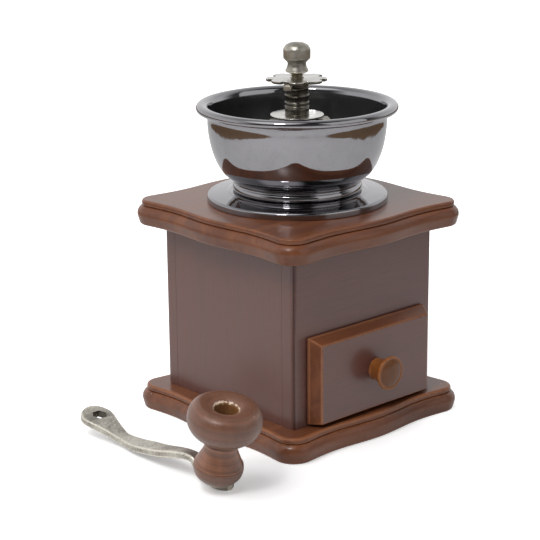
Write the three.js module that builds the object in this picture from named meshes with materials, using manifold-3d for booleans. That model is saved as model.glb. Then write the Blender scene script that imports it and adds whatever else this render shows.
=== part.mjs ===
// Hand coffee mill: a wooden box with a drawer, a metal hopper over a conical burr, and its crank
// taken off and lying on the table at the left. Millimetres, +Z up, floor at z = 0, the drawer
// faces -Y and the drive shaft stands on x = y = 0.
import * as THREE from "three";
import { mergeVertices } from "three/addons/utils/BufferGeometryUtils.js";
import Module from "manifold-3d";

// Box
const BOX_HALF = 50;
const WALL = 8.5;
const BOX_EDGE_R = 2.5;
const BASE_T = 13;
const BOX_TOP = 103.25;
const TOP_T = 12.75;
const DECK = BOX_TOP + TOP_T;

// Moulded boards: half size of the upper lip, its serpentine edge and its corners
const BASE_HALF = 60.6;
const TOP_HALF = 60.5;
const WAVE = 1.2;
const WAVE_PITCH = 64;
const BOARD_CORNER_R = 9;
const EDGE_STEPS = 8;
const CORNER_STEPS = 4;
// Edge moulding from the top face down: depth below the top, distance outside the lip
const MOULDING = [
  [0, -1.1],
  [1.1, 0],
  [2.6, 0],
  [3.1, -0.7],
  [3.8, 0.9],
  [5.2, 2.0],
  [7.4, 2.6],
  [10.2, 2.0],
];
const MOULDING_FOOT = 1.1;

// Wood screws: across the box under the base, and along its walls under the hopper flange
const UNDER_SCREWS = [
  [-45.75, -24],
  [45.75, -24],
  [-45.75, 24],
  [45.75, 24],
];
const DECK_SCREWS = [
  [0, -44.25],
  [44.25, 0],
  [0, 44.25],
  [-44.25, 0],
];
const WOOD_SCREW_L = 31;
const WOOD_SCREW_R = 1.5;
const WOOD_HEAD_R = 2.9;
const WOOD_SCREW_GAP = 0.2;
const WOOD_HEAD_H = 2.4;
const HEAD_SINK = 0.5;

// Drawer
const OPENING_HALF = 37;
const OPENING_TOP = 56.5;
const DRAWER_GAP = 0.25;
const DRAWER_X = 0.75;
const DRAWER_HALF = 36.5;
const DRAWER_DEPTH = 85;
const DRAWER_SIDE_T = 5;
const DRAWER_SIDE_H = 38;
const DRAWER_PLY_T = 3;
const DRAWER_PLY_Z = 2;
const FRONT_HALF = 42;
const FRONT_Z0 = 14.25;
const FRONT_Z1 = 60.25;
const FRONT_T = 8;
const FRONT_STRAIGHT = 1.5;
const FRONT_BEVEL = 3.3;
const FRONT_FOOT_BEVEL = 0.75;
const KNOB_Z = 36;
const KNOB_SCREW_R = 1.8;
const KNOB_SCREW_IN = 7;
const KNOB_PROFILE = [
  [0, 0],
  [5.0, 0],
  [4.9, 3.0],
  [5.4, 5.4],
  [7.0, 7.6],
  [8.5, 9.3],
  [8.95, 10.5],
  [8.5, 11.5],
  [4.0, 11.0],
  [0, 10.8],
];

// Hopper
const SHEET = 1.2;
const FLANGE_R = 47.5;
const FLANGE_SEAT = 121.5;
const THROAT_R = 21.5;
const BOARD_HOLE_R = 31;
const BOWL_OUTSIDE = [
  [32.8, FLANGE_SEAT],
  [33.9, 122.6],
  [33.7, 124.6],
  [32.9, 125.9],
  [35.0, 128.1],
  [38.9, 131.6],
  [41.4, 135.3],
  [44.4, 142.6],
  [46.0, 150.5],
  [46.8, 159.6],
  [47.6, 162.9],
  [50.4, 163.1],
  [52.1, 164.0],
  [52.5, 165.4],
  [51.6, 167.0],
  [49.4, 167.5],
  [47.0, 166.6],
  [45.9, 164.2],
];
const BOWL_WALL_POINTS = 10;

// Grinding gear
const SCREW_RING_R = 27.5;
const SCREW_ANGLES = [180, 60, -60];
const SCREW_R = 2;
const SCREW_HEAD_R = 3;
const BRIDGE_TOP = 161.25;
const BRIDGE_R = 14;
const BRIDGE_T = 1.8;
const LEG_WIDTH = 9;
const BORE_GAP = 0.1;
const THREAD_GAP = 0.35;
const SLEEVE_TOP = 178.5;
const SLEEVE_R = 6.1;
const SLEEVE_FOOT_R = 6.3;
const SLEEVE_RIDGE_R = 6.6;
const SLEEVE_RIDGES = [165.5, 167.6, 171.4, 175.2];
const WHEEL_Z = 178.75;
const WHEEL_T = 1.5;
const WHEEL_R = 16.2;
const WHEEL_LOBES = 8;
const LOCK_ANGLE = 202.5;
const SHAFT_R = 4;
const THREAD_R = 3.3;
const SHAFT_FOOT = 82.5;
const SHAFT_TOP = 193;
const NUT_FOOT = 183.25;
const BURR_TEETH = 12;
const BURR_FOOT = 88.75;
const BURR_HEAD = 117.75;
const BURR_OUTSIDE = [
  [17.4, BURR_FOOT],
  [17.6, 91.5],
  [16.6, 97],
  [14.2, 105],
  [10.6, 113],
  [7.4, BURR_HEAD],
];
const BURR_LEAN = 0.028;
const RING_R = 24.5;
const RING_FOOT = 89;
const RING_INSIDE = [
  [20.4, RING_FOOT],
  [20.0, 92],
  [18.4, 100],
  [17.8, 108],
  [21.0, FLANGE_SEAT],
];
const RING_LEAN = -0.012;
const EAR_T = 7;
const EAR_R = 6;
const EAR_REACH = 33;
const TOOTH = 1.2;
const TOOTH_SHAPE = [0, 0.8, 1];
const BURR_WASHER_R = 7;
const BURR_WASHER_T = 1.25;
const BURR_NUT_FLATS = 12;
const BURR_NUT_T = 4;
const SPRING_R = 5.7;
const SPRING_WIRE_R = 0.8;
const SPRING_TURNS = 7;
const SPRING_STEPS = 8;
const SPRING_SIDES = 5;

// Crank, in its own frame: x runs along the arm from the eye, z is the spindle direction
const ARM_T = 3.75;
const ARM_EDGE = 0.7;
const ARM_ELBOW = { x: 28, reach: 9, depth: 2.1 };
const EYE_HEX = 7;
const SPINDLE_X = 95.5;
// Plan of the bar from the round eye to the foot: [x, near edge, far edge, far edge's chamfer]
const ARM_PLAN = [
  [-9.7, -0.2, 0.2, 0.1],
  [-8.8, -4.0, 3.4, 0.5],
  [-6.5, -7.2, 6.0, 0.7],
  [-3, -9.2, 7.6, 0.7],
  [0, -9.7, 8.0, 0.7],
  [4, -9.0, 7.2, 0.8],
  [9, -7.6, 5.8, 1.0],
  [15, -6.2, 4.6, 1.6],
  [21, -5.4, 4.0, 2.2],
  [26, -5.0, 4.3, 2.0],
  [32, -5.2, 5.1, 1.0],
  [38, -5.5, 5.8, 0.7],
  [48, -5.6, 5.4, 0.7],
  [57, -5.5, 4.7, 0.8],
  [67, -5.0, 4.2, 1.6],
  [74, -4.5, 4.0, 2.2],
  [78, -4.3, 4.0, 2.3],
  [81, -4.2, 4.0, 2.0],
  [84, -4.1, 4.2, 1.4],
  [88, -4.0, 4.6, 0.8],
  [95.5, -3.8, 6.0, 0.7],
  [99, -2.4, 7.3, 0.7],
  [101.2, 0.0, 6.4, 0.6],
  [102.2, 2.0, 4.6, 0.3],
];
// Upper face of the bar, as [x, z]
const ARM_TOP = [
  [-9.7, 0],
  [0, 0],
  [14, 0.1],
  [24, 0.5],
  [34, 2.0],
  [43, 5.2],
  [54, 9.6],
  [65, 14.9],
  [74, 18.6],
  [79.5, 19.5],
  [82.3, 18.3],
  [84.4, 16.3],
  [87, 14.8],
  [90, 14.4],
  [96, 14.4],
  [102.2, 14.5],
];
const FOOT_TOP = 14.4;
const CRANK_PITCH = 12;
const CRANK_YAW = 268.6;
const CRANK_EYE = [-103.7, 40.9];
const HANDLE_GAP = 0.5;
const HANDLE_PROFILE = [
  [0, 0],
  [7.0, 0],
  [9.6, 1.2],
  [11.6, 3.8],
  [12.25, 7.4],
  [11.9, 9.6],
  [11.0, 10.3],
  [8.9, 15.2],
  [8.0, 18.2],
  [8.2, 20.6],
  [9.0, 21.4],
  [12.4, 23.6],
  [15.9, 26.8],
  [17.8, 30.2],
  [18.2, 33.4],
  [17.6, 36.8],
  [15.8, 39.6],
  [13.0, 40.9],
  [9.0, 40.3],
  [5.6, 38.8],
  [0, 38.8],
];
const HANDLE_WELL_R = 5.6;
const HANDLE_WELL = 28;
const SPINDLE_R = 2.4;
const SPINDLE_HEAD_R = 4.4;

// Finishes
const WALNUT = { color: 0x5e352a, roughness: 0.45, metalness: 0 };
const AMBER_WOOD = { color: 0x8a4a20, roughness: 0.45, metalness: 0 };
const RAW_WOOD = { color: 0xb58a5c, roughness: 0.8, metalness: 0 };
const BLACK_NICKEL = { color: 0x55555a, roughness: 0.12, metalness: 1 };
const NICKEL = { color: 0x9a9184, roughness: 0.35, metalness: 1 };
const CAST_IRON = { color: 0x4a4a4c, roughness: 0.6, metalness: 0.9 };
const STEEL = { color: 0xa8a8ac, roughness: 0.4, metalness: 1 };

// Facets round a turned piece, by its size
const WIDE = 40;
const MEDIUM = 24;
const SMALL = 16;
const TINY = 8;
const HANDLE_FACETS = 28;

const radians = THREE.MathUtils.degToRad;
const wasm = await Module();
wasm.setup();

// A closed geometry as a solid facing out.
function toSolid(geometry) {
  const bare = new THREE.BufferGeometry();
  const flat = geometry.index ? geometry.toNonIndexed() : geometry;
  bare.setAttribute("position", flat.getAttribute("position"));
  const merged = mergeVertices(bare, 1e-4);
  const vertProperties = new Float32Array(merged.attributes.position.array);
  const triVerts = new Uint32Array(merged.index.array);
  const made = new wasm.Manifold(new wasm.Mesh({ numProp: 3, vertProperties, triVerts }));
  if (made.volume() > 0) return made;
  for (let i = 0; i < triVerts.length; i += 3) {
    [triVerts[i], triVerts[i + 1]] = [triVerts[i + 1], triVerts[i]];
  }
  return new wasm.Manifold(new wasm.Mesh({ numProp: 3, vertProperties, triVerts }));
}

function toGeometry(solid) {
  const mesh = solid.getMesh();
  const places = new Float32Array(mesh.vertProperties);
  const geometry = new THREE.BufferGeometry();
  geometry.setAttribute("position", new THREE.BufferAttribute(places, 3));
  geometry.setIndex(new THREE.BufferAttribute(new Uint32Array(mesh.triVerts), 1));
  geometry.computeVertexNormals();
  return geometry;
}

function cut(body, ...tools) {
  return toGeometry(tools.reduce((left, tool) => left.subtract(toSolid(tool)), toSolid(body)));
}

function join(...bodies) {
  return toGeometry(bodies.map(toSolid).reduce((all, body) => all.add(body)));
}

// Adds one named piece to a group, at a place in that group.
function piece(group, name, geometry, finish, x = 0, y = 0, z = 0) {
  const mesh = new THREE.Mesh(toGeometry(toSolid(geometry)), new THREE.MeshStandardMaterial(finish));
  mesh.name = name;
  mesh.position.set(x, y, z);
  group.add(mesh);
  return mesh;
}

// A piece turned round the Z axis; the profile is [radius, height] from axis to axis.
function turned(profile, segments) {
  const points = profile.map(([r, z]) => new THREE.Vector2(r, z));
  return new THREE.LatheGeometry(points, segments).rotateX(Math.PI / 2);
}

// A turned ring, whose profile closes on itself and keeps off the axis.
function turnedRing(profile, segments) {
  return turned([...profile, profile[0]], segments);
}

function rod(r, z0, z1, segments, x = 0, y = 0) {
  const g = new THREE.CylinderGeometry(r, r, z1 - z0, segments).rotateX(Math.PI / 2);
  return g.translate(x, y, (z0 + z1) / 2);
}

// A six-sided prism, given by the distance between its flats.
function hexagon(flats, z0, z1) {
  return rod(flats / Math.sqrt(3), z0, z1, 6);
}

function block(x0, x1, y0, y1, z0, z1) {
  const g = new THREE.BoxGeometry(x1 - x0, y1 - y0, z1 - z0);
  return g.translate((x0 + x1) / 2, (y0 + y1) / 2, (z0 + z1) / 2);
}

// A strip of a given width, bent in the XZ plane to an outline of [x, z] points.
function bentStrip(outline, width) {
  const shape = new THREE.Shape(outline.map(([x, z]) => new THREE.Vector2(x, z)));
  const g = new THREE.ExtrudeGeometry(shape, { depth: width, bevelEnabled: false });
  return g.translate(0, 0, -width / 2).rotateX(Math.PI / 2);
}

// Skin through loops of points, all of the same length, capped at both ends.
function loft(loops) {
  const n = loops[0].length;
  const points = loops.flat();
  const index = [];
  for (let k = 0; k + 1 < loops.length; k++) {
    for (let i = 0; i < n; i++) {
      const a = k * n + i;
      const b = k * n + ((i + 1) % n);
      index.push(a, b, b + n, a, b + n, a + n);
    }
  }
  for (const k of [0, loops.length - 1]) {
    const centre = new THREE.Vector3();
    loops[k].forEach((p) => centre.add(p));
    points.push(centre.divideScalar(n));
    const c = points.length - 1;
    for (let i = 0; i < n; i++) {
      const a = k * n + i;
      const b = k * n + ((i + 1) % n);
      index.push(...(k ? [a, b, c] : [b, a, c]));
    }
  }
  const g = new THREE.BufferGeometry().setFromPoints(points);
  return g.setIndex(index);
}

// One loop round a moulded board: sides with a slow wave, rounded corners.
function boardLoop(half, outside, z) {
  const loop = [];
  const up = new THREE.Vector3(0, 0, 1);
  const run = half - BOARD_CORNER_R;
  const wave = (s) => WAVE * Math.cos((2 * Math.PI * s) / WAVE_PITCH);
  const reach = BOARD_CORNER_R + outside + wave(run);
  for (let side = 0; side < 4; side++) {
    const turn = (side * Math.PI) / 2;
    for (let i = 0; i <= EDGE_STEPS; i++) {
      const s = -run + (2 * run * i) / EDGE_STEPS;
      loop.push(new THREE.Vector3(half + outside + wave(s), s, z).applyAxisAngle(up, turn));
    }
    for (let i = 1; i < CORNER_STEPS; i++) {
      const a = (Math.PI / 2) * (i / CORNER_STEPS);
      const x = run + reach * Math.cos(a);
      const y = run + reach * Math.sin(a);
      loop.push(new THREE.Vector3(x, y, z).applyAxisAngle(up, turn));
    }
  }
  return loop;
}

function mouldedBoard(half, z0, z1) {
  const loops = MOULDING.map(([down, outside]) => boardLoop(half, outside, z1 - down));
  loops.push(boardLoop(half, MOULDING_FOOT, z0));
  return loft(loops.reverse());
}

// Countersunk wood screw, its head at z = 0 and its tip at +Z, with a slot.
function woodScrew() {
  const profile = [
    [0, 0],
    [WOOD_HEAD_R, 0],
    [WOOD_HEAD_R, 0.5],
    [WOOD_SCREW_R, WOOD_HEAD_H],
    [WOOD_SCREW_R, WOOD_SCREW_L - 4],
    [0, WOOD_SCREW_L],
  ];
  return cut(turned(profile, TINY), block(-4, 4, -0.45, 0.45, -1, 0.9));
}

// Way for a wood screw through board and wall, its head end at z = 0
function woodScrewHole(x, y, z, turn) {
  const hole = join(
    rod(WOOD_SCREW_R + WOOD_SCREW_GAP, -1, WOOD_SCREW_L + 1, TINY),
    rod(WOOD_HEAD_R + WOOD_SCREW_GAP, -1, WOOD_HEAD_H + 0.4, SMALL),
  );
  return hole.rotateX(turn).translate(x, y, z);
}

// A wall across the box at the -Y side, with its two outer upright edges rounded.
function endWall() {
  const r = BOX_EDGE_R;
  const shape = new THREE.Shape();
  shape.moveTo(-BOX_HALF, -BOX_HALF + WALL);
  shape.absarc(-BOX_HALF + r, -BOX_HALF + r, r, Math.PI, 1.5 * Math.PI, false);
  shape.absarc(BOX_HALF - r, -BOX_HALF + r, r, 1.5 * Math.PI, 2 * Math.PI, false);
  shape.lineTo(BOX_HALF, -BOX_HALF + WALL);
  const depth = BOX_TOP - BASE_T;
  const g = new THREE.ExtrudeGeometry(shape, { depth, bevelEnabled: false, curveSegments: 4 });
  return g.translate(0, 0, BASE_T);
}

function makeCase() {
  const group = new THREE.Group();
  const holes = [
    ...UNDER_SCREWS.map(([x, y]) => woodScrewHole(x, y, HEAD_SINK, 0)),
    ...DECK_SCREWS.map(([x, y]) => woodScrewHole(x, y, DECK - HEAD_SINK, Math.PI)),
  ];
  const inner = BOX_HALF - WALL;
  const boardHole = rod(BOARD_HOLE_R, BOX_TOP - 1, DECK + 1, WIDE);
  const opening = block(-OPENING_HALF, OPENING_HALF, -BOX_HALF - 1, 1 - inner, BASE_T - 1, OPENING_TOP);
  opening.translate(DRAWER_X, 0, 0);
  const sideWall = block(-BOX_HALF, -inner, -inner, inner, BASE_T, BOX_TOP);
  piece(group, "base_board", cut(mouldedBoard(BASE_HALF, 0, BASE_T), ...holes), WALNUT);
  piece(group, "top_board", cut(mouldedBoard(TOP_HALF, BOX_TOP, DECK), boardHole, ...holes), WALNUT);
  piece(group, "front_panel", cut(endWall(), opening, ...holes), WALNUT);
  piece(group, "back_wall", cut(endWall().rotateZ(Math.PI), ...holes), WALNUT);
  piece(group, "left_wall", cut(sideWall, ...holes), WALNUT);
  piece(group, "right_wall", cut(sideWall.clone().rotateZ(Math.PI), ...holes), WALNUT);
  UNDER_SCREWS.forEach(([x, y], i) => {
    piece(group, "under_screw_" + (i + 1), woodScrew(), STEEL, x, y, HEAD_SINK);
  });
  DECK_SCREWS.forEach(([x, y], i) => {
    const screw = piece(group, "deck_screw_" + (i + 1), woodScrew(), STEEL, x, y, DECK - HEAD_SINK);
    screw.rotation.x = Math.PI;
  });
  return group;
}

// One loop of the drawer front, drawn in by an inset
function frontLoop(y, inset) {
  const x = FRONT_HALF - inset;
  const z0 = FRONT_Z0 + Math.min(inset, FRONT_FOOT_BEVEL);
  const z1 = FRONT_Z1 - inset;
  const corners = [
    [-x, z0],
    [x, z0],
    [x, z1],
    [-x, z1],
  ];
  return corners.map(([cx, cz]) => new THREE.Vector3(cx, y, cz));
}

// A thin-walled tray behind a bevelled front that overlaps the opening; y = 0 is the back of the front.
function makeDrawer() {
  const group = new THREE.Group();
  group.position.set(DRAWER_X, -BOX_HALF - DRAWER_GAP, 0);
  const blank = loft([frontLoop(0, 0), frontLoop(-FRONT_STRAIGHT, 0), frontLoop(-FRONT_T, FRONT_BEVEL)]);
  const screwHole = rod(KNOB_SCREW_R + 0.3, -FRONT_T - 1, KNOB_SCREW_IN + 0.5, SMALL);
  const frontHole = screwHole.clone().rotateX(Math.PI / 2).translate(0, -FRONT_T, KNOB_Z);
  piece(group, "drawer_front", cut(blank, frontHole), WALNUT);

  const z0 = BASE_T + DRAWER_GAP;
  const z1 = z0 + DRAWER_SIDE_H;
  const inside = DRAWER_HALF - DRAWER_SIDE_T;
  const back = DRAWER_DEPTH - DRAWER_SIDE_T;
  const ply = z0 + DRAWER_PLY_Z;
  const side = block(-DRAWER_SIDE_T / 2, DRAWER_SIDE_T / 2, 0, DRAWER_DEPTH, z0, z1);
  const sideX = DRAWER_HALF - DRAWER_SIDE_T / 2;
  piece(group, "drawer_left_side", side, RAW_WOOD, -sideX);
  piece(group, "drawer_right_side", side, RAW_WOOD, sideX);
  piece(group, "drawer_back", block(-inside, inside, back, DRAWER_DEPTH, z0, z1), RAW_WOOD);
  piece(group, "drawer_bottom", block(-inside, inside, 0, back, ply, ply + DRAWER_PLY_T), RAW_WOOD);

  const knob = cut(turned(KNOB_PROFILE, MEDIUM), screwHole);
  piece(group, "drawer_knob", knob, AMBER_WOOD, 0, -FRONT_T, KNOB_Z).rotation.x = Math.PI / 2;
  const screw = [
    [0, KNOB_SCREW_IN],
    [KNOB_SCREW_R, KNOB_SCREW_IN],
    [KNOB_SCREW_R, -FRONT_T],
    [WOOD_HEAD_R, -FRONT_T],
    [0, -FRONT_T - 2],
  ];
  piece(group, "drawer_knob_screw", turned(screw, TINY), STEEL, 0, -FRONT_T, KNOB_Z).rotation.x = Math.PI / 2;
  return group;
}

// The same thing three times round the hopper, at the bridge screws
function roundScrews(make) {
  return SCREW_ANGLES.map((a) => make().rotateZ(radians(a)));
}

// Pressed flange over the hole in the board, and on it the bowl with its rolled rim
function makeHopper() {
  const group = new THREE.Group();
  const screwHoles = roundScrews(() => rod(SCREW_R + 0.4, BOX_TOP - 10, 130, SMALL, SCREW_RING_R));
  const under = FLANGE_SEAT - SHEET;
  const flange = [
    [FLANGE_R, DECK],
    [FLANGE_R, 119.1],
    [FLANGE_R - 0.8, 119.9],
    [37, 121.0],
    [35.6, FLANGE_SEAT],
    [RING_R + 0.4, FLANGE_SEAT],
    [RING_R + 0.4, under],
    [35.2, under],
    [FLANGE_R - SHEET, 119.9 - SHEET],
    [FLANGE_R - SHEET, DECK],
  ];
  piece(group, "hopper_flange", cut(turnedRing(flange, WIDE), ...screwHoles), BLACK_NICKEL);

  // The inside of the wall lies one sheet inside its outside, square to it.
  const floor = FLANGE_SEAT + SHEET;
  const inside = BOWL_OUTSIDE.slice(4, BOWL_WALL_POINTS).map(([r, z], i) => {
    const [r0, z0] = BOWL_OUTSIDE[i + 3];
    const [r1, z1] = BOWL_OUTSIDE[i + 5];
    const long = Math.hypot(r1 - r0, z1 - z0);
    return [r - (SHEET * (z1 - z0)) / long, z + (SHEET * (r1 - r0)) / long];
  });
  const bowl = [[THROAT_R, FLANGE_SEAT], ...BOWL_OUTSIDE, ...inside.reverse(), [31.6, 126], [31.6, floor]];
  bowl.push([THROAT_R, floor]);
  piece(group, "hopper_bowl", cut(turnedRing(bowl, WIDE), ...screwHoles), BLACK_NICKEL);
  return group;
}

// Disc over three bent legs that stand on the floor of the bowl, with the sleeve and the long screws
function makeBridge() {
  const group = new THREE.Group();
  const floor = FLANGE_SEAT + SHEET;
  const head = floor + BRIDGE_T;
  const top = BRIDGE_TOP - 1.2;
  const leg = [
    [9, top],
    [15.2, top],
    [17.0, top - 1.6],
    [24.4, head],
    [30.4, head],
    [30.4, floor],
    [23.2, floor],
    [15.2, top - 2.2],
    [14.4, top - BRIDGE_T],
    [9, top - BRIDGE_T],
  ];
  const bore = rod(SHAFT_R + BORE_GAP, SHAFT_FOOT, SHAFT_TOP, MEDIUM);
  const disc = rod(BRIDGE_R, BRIDGE_TOP - BRIDGE_T, BRIDGE_TOP, MEDIUM);
  const legs = roundScrews(() => bentStrip(leg, LEG_WIDTH));
  const holes = roundScrews(() => rod(SCREW_R + 0.4, floor - 1, head + 1, SMALL, SCREW_RING_R));
  piece(group, "bridge", cut(join(disc, ...legs), bore, ...holes), NICKEL);

  const foot = BOX_TOP - EAR_T;
  const profile = [
    [0, foot],
    [SCREW_R, foot],
    [SCREW_R, head],
    [SCREW_HEAD_R, head],
    [SCREW_HEAD_R - 0.2, head + 1.5],
    [0, head + 2.1],
  ];
  const screw = cut(turned(profile, SMALL), block(-4, 4, -0.4, 0.4, head + 1.1, head + 3));
  SCREW_ANGLES.forEach((a, i) => {
    const x = SCREW_RING_R * Math.cos(radians(a));
    const y = SCREW_RING_R * Math.sin(radians(a));
    piece(group, "bridge_screw_" + (i + 1), screw, STEEL, x, y);
  });

  const sleeve = [
    [SHAFT_R - 1, BRIDGE_TOP],
    [SLEEVE_FOOT_R, BRIDGE_TOP],
    [SLEEVE_FOOT_R, 164.6],
  ];
  for (const z of SLEEVE_RIDGES) {
    sleeve.push([SLEEVE_R, z - 0.7], [SLEEVE_RIDGE_R, z], [SLEEVE_R, z + 0.7]);
  }
  sleeve.push([SLEEVE_R, SLEEVE_TOP], [SHAFT_R - 1, SLEEVE_TOP]);
  piece(group, "sleeve", cut(turnedRing(sleeve, SMALL), bore), NICKEL);
  return group;
}

// One loop of a surface with leaning saw teeth round it
function toothedLoop(r, z, from, lean, depth) {
  const steps = BURR_TEETH * TOOTH_SHAPE.length;
  const loop = [];
  for (let i = 0; i < steps; i++) {
    const a = (2 * Math.PI * i) / steps + lean * (z - from);
    const out = r - TOOTH + depth * TOOTH_SHAPE[i % TOOTH_SHAPE.length];
    loop.push(new THREE.Vector3(out * Math.cos(a), out * Math.sin(a), z));
  }
  return loop;
}

// The fixed ring: toothed bore, and three ears that the long screws draw up under the top board
function makeOuterBurr() {
  const loops = RING_INSIDE.map(([r, z]) => toothedLoop(r, z, RING_FOOT, RING_LEAN, TOOTH));
  loops.unshift(loops[0].map((p) => p.clone().setZ(RING_FOOT - 1)));
  loops.push(loops.at(-1).map((p) => p.clone().setZ(FLANGE_SEAT + 1)));
  const z0 = BOX_TOP - EAR_T;
  const ears = roundScrews(() => {
    return join(block(20, EAR_REACH, -EAR_R, EAR_R, z0, BOX_TOP), rod(EAR_R, z0, BOX_TOP, MEDIUM, EAR_REACH));
  });
  const holes = roundScrews(() => rod(SCREW_R + 0.3, z0 - 1, BOX_TOP + 1, SMALL, SCREW_RING_R));
  return cut(join(rod(RING_R, RING_FOOT, FLANGE_SEAT, WIDE), ...ears), loft(loops), ...holes);
}

// The cone that turns in it
function makeInnerBurr(bore) {
  const loops = BURR_OUTSIDE.map(([r, z], i) => {
    const depth = i === BURR_OUTSIDE.length - 1 ? TOOTH / 2 : TOOTH;
    return toothedLoop(r, z, BURR_FOOT, BURR_LEAN, depth);
  });
  return cut(loft(loops), bore);
}

class Helix extends THREE.Curve {
  constructor(radius, z0, z1, turns) {
    super();
    Object.assign(this, { radius, z0, z1, turns });
  }
  getPoint(t, target = new THREE.Vector3()) {
    const a = 2 * Math.PI * this.turns * t;
    const z = this.z0 + (this.z1 - this.z0) * t;
    return target.set(this.radius * Math.cos(a), this.radius * Math.sin(a), z);
  }
}

// Round wire along a helix, and the least gap between its turns
function makeSpring(z0, z1) {
  const path = new Helix(SPRING_R, z0 + SPRING_WIRE_R, z1 - SPRING_WIRE_R, SPRING_TURNS);
  const steps = SPRING_TURNS * SPRING_STEPS;
  const points = path.getPoints(steps);
  let gap = Infinity;
  for (let k = 0; k + SPRING_STEPS / 2 <= steps; k++) {
    for (const other of points.slice(k + SPRING_STEPS / 2)) {
      gap = Math.min(gap, points[k].distanceTo(other) - 2 * SPRING_WIRE_R);
    }
  }
  console.log("least gap of the spring to itself " + gap.toFixed(2) + " mm");
  const loops = points.map((at, k) => {
    const out = new THREE.Vector3(at.x, at.y, 0).normalize();
    const up = new THREE.Vector3().crossVectors(path.getTangent(k / steps), out).normalize();
    return Array.from({ length: SPRING_SIDES }, (_, i) => {
      const a = (2 * Math.PI * i) / SPRING_SIDES;
      const p = at.clone().addScaledVector(out, SPRING_WIRE_R * Math.cos(a));
      return p.addScaledVector(up, SPRING_WIRE_R * Math.sin(a));
    });
  });
  return loft(loops);
}

function makeGear() {
  const group = new THREE.Group();
  const bore = rod(SHAFT_R + BORE_GAP, SHAFT_FOOT, SHAFT_TOP, MEDIUM);
  const washer = cut(rod(BURR_WASHER_R, 0, BURR_WASHER_T, SMALL), bore.clone().translate(0, 0, -SHAFT_FOOT - 1));
  const nutZ = BURR_FOOT - BURR_WASHER_T - BURR_NUT_T;
  const shaft = [
    [0, SHAFT_FOOT],
    [SHAFT_R, SHAFT_FOOT],
    [SHAFT_R, SLEEVE_TOP - 0.6],
    [THREAD_R, SLEEVE_TOP],
    [THREAD_R, SHAFT_TOP - 0.6],
    [0, SHAFT_TOP],
  ];
  piece(group, "outer_burr", makeOuterBurr(), CAST_IRON);
  piece(group, "inner_burr", makeInnerBurr(bore), CAST_IRON);
  piece(group, "drive_shaft", turned(shaft, MEDIUM), STEEL);
  piece(group, "burr_washer", washer, STEEL, 0, 0, BURR_FOOT - BURR_WASHER_T);
  piece(group, "burr_nut", cut(hexagon(BURR_NUT_FLATS, nutZ, nutZ + BURR_NUT_T), bore), STEEL);
  piece(group, "spring_washer", washer, STEEL, 0, 0, BURR_HEAD);
  const springFoot = BURR_HEAD + BURR_WASHER_T + 0.1;
  piece(group, "burr_spring", makeSpring(springFoot, BRIDGE_TOP - 3.4), STEEL);
  return group;
}

// Adjusting wheel: a thin lobed star on the thread, notched between the lobes
function makeWheel() {
  const steps = WHEEL_LOBES * 6;
  const outline = [];
  for (let i = 0; i < steps; i++) {
    const a = (2 * Math.PI * i) / steps;
    const r = WHEEL_R - 0.9 + 0.9 * Math.cos(WHEEL_LOBES * a);
    outline.push(new THREE.Vector2(r * Math.cos(a), r * Math.sin(a)));
  }
  const options = { depth: WHEEL_T, bevelEnabled: false };
  const blank = new THREE.ExtrudeGeometry(new THREE.Shape(outline), options);
  const notches = [];
  for (let i = 0; i < WHEEL_LOBES; i++) {
    const a = (Math.PI * (2 * i + 1)) / WHEEL_LOBES;
    const r = WHEEL_R - 1.3;
    notches.push(rod(1.3, -1, WHEEL_T + 1, TINY, r * Math.cos(a), r * Math.sin(a)));
  }
  return cut(blank, rod(THREAD_R + THREAD_GAP, -1, WHEEL_T + 1, SMALL), ...notches);
}

function makeTop() {
  const group = new THREE.Group();
  piece(group, "star_wheel", makeWheel(), NICKEL, 0, 0, WHEEL_Z);
  const tab = [
    [8.2, -0.1],
    [11.4, -0.1],
    [12.6, -0.9],
    [12.4, -3.4],
    [11.2, -3.6],
    [11.2, -2.0],
    [10.6, -1.2],
    [8.2, -1.2],
  ];
  piece(group, "lock_tab", bentStrip(tab, 4), NICKEL, 0, 0, WHEEL_Z).rotation.z = radians(LOCK_ANGLE);
  const nut = [
    [0, 0],
    [5.6, 0],
    [6, 0.5],
    [6, 2.2],
    [4.8, 4.2],
    [4.8, 5.2],
    [7.05, 7.4],
    [7.05, 12.1],
    [5.9, 14.0],
    [3.4, 15.2],
    [0, 15.5],
  ];
  const thread = rod(THREAD_R + THREAD_GAP, -1, SHAFT_TOP - NUT_FOOT + 0.5, SMALL);
  piece(group, "cap_nut", cut(turned(nut, MEDIUM), thread), NICKEL, 0, 0, NUT_FOOT);
  return group;
}

// Where a curve's points reach x
function along(curve, x) {
  const points = curve.getSpacedPoints(200);
  const k = Math.max(points.findIndex((p) => p.x >= x), 1);
  const t = (x - points[k - 1].x) / (points[k].x - points[k - 1].x);
  return (k - 1 + t) / 200;
}

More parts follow.
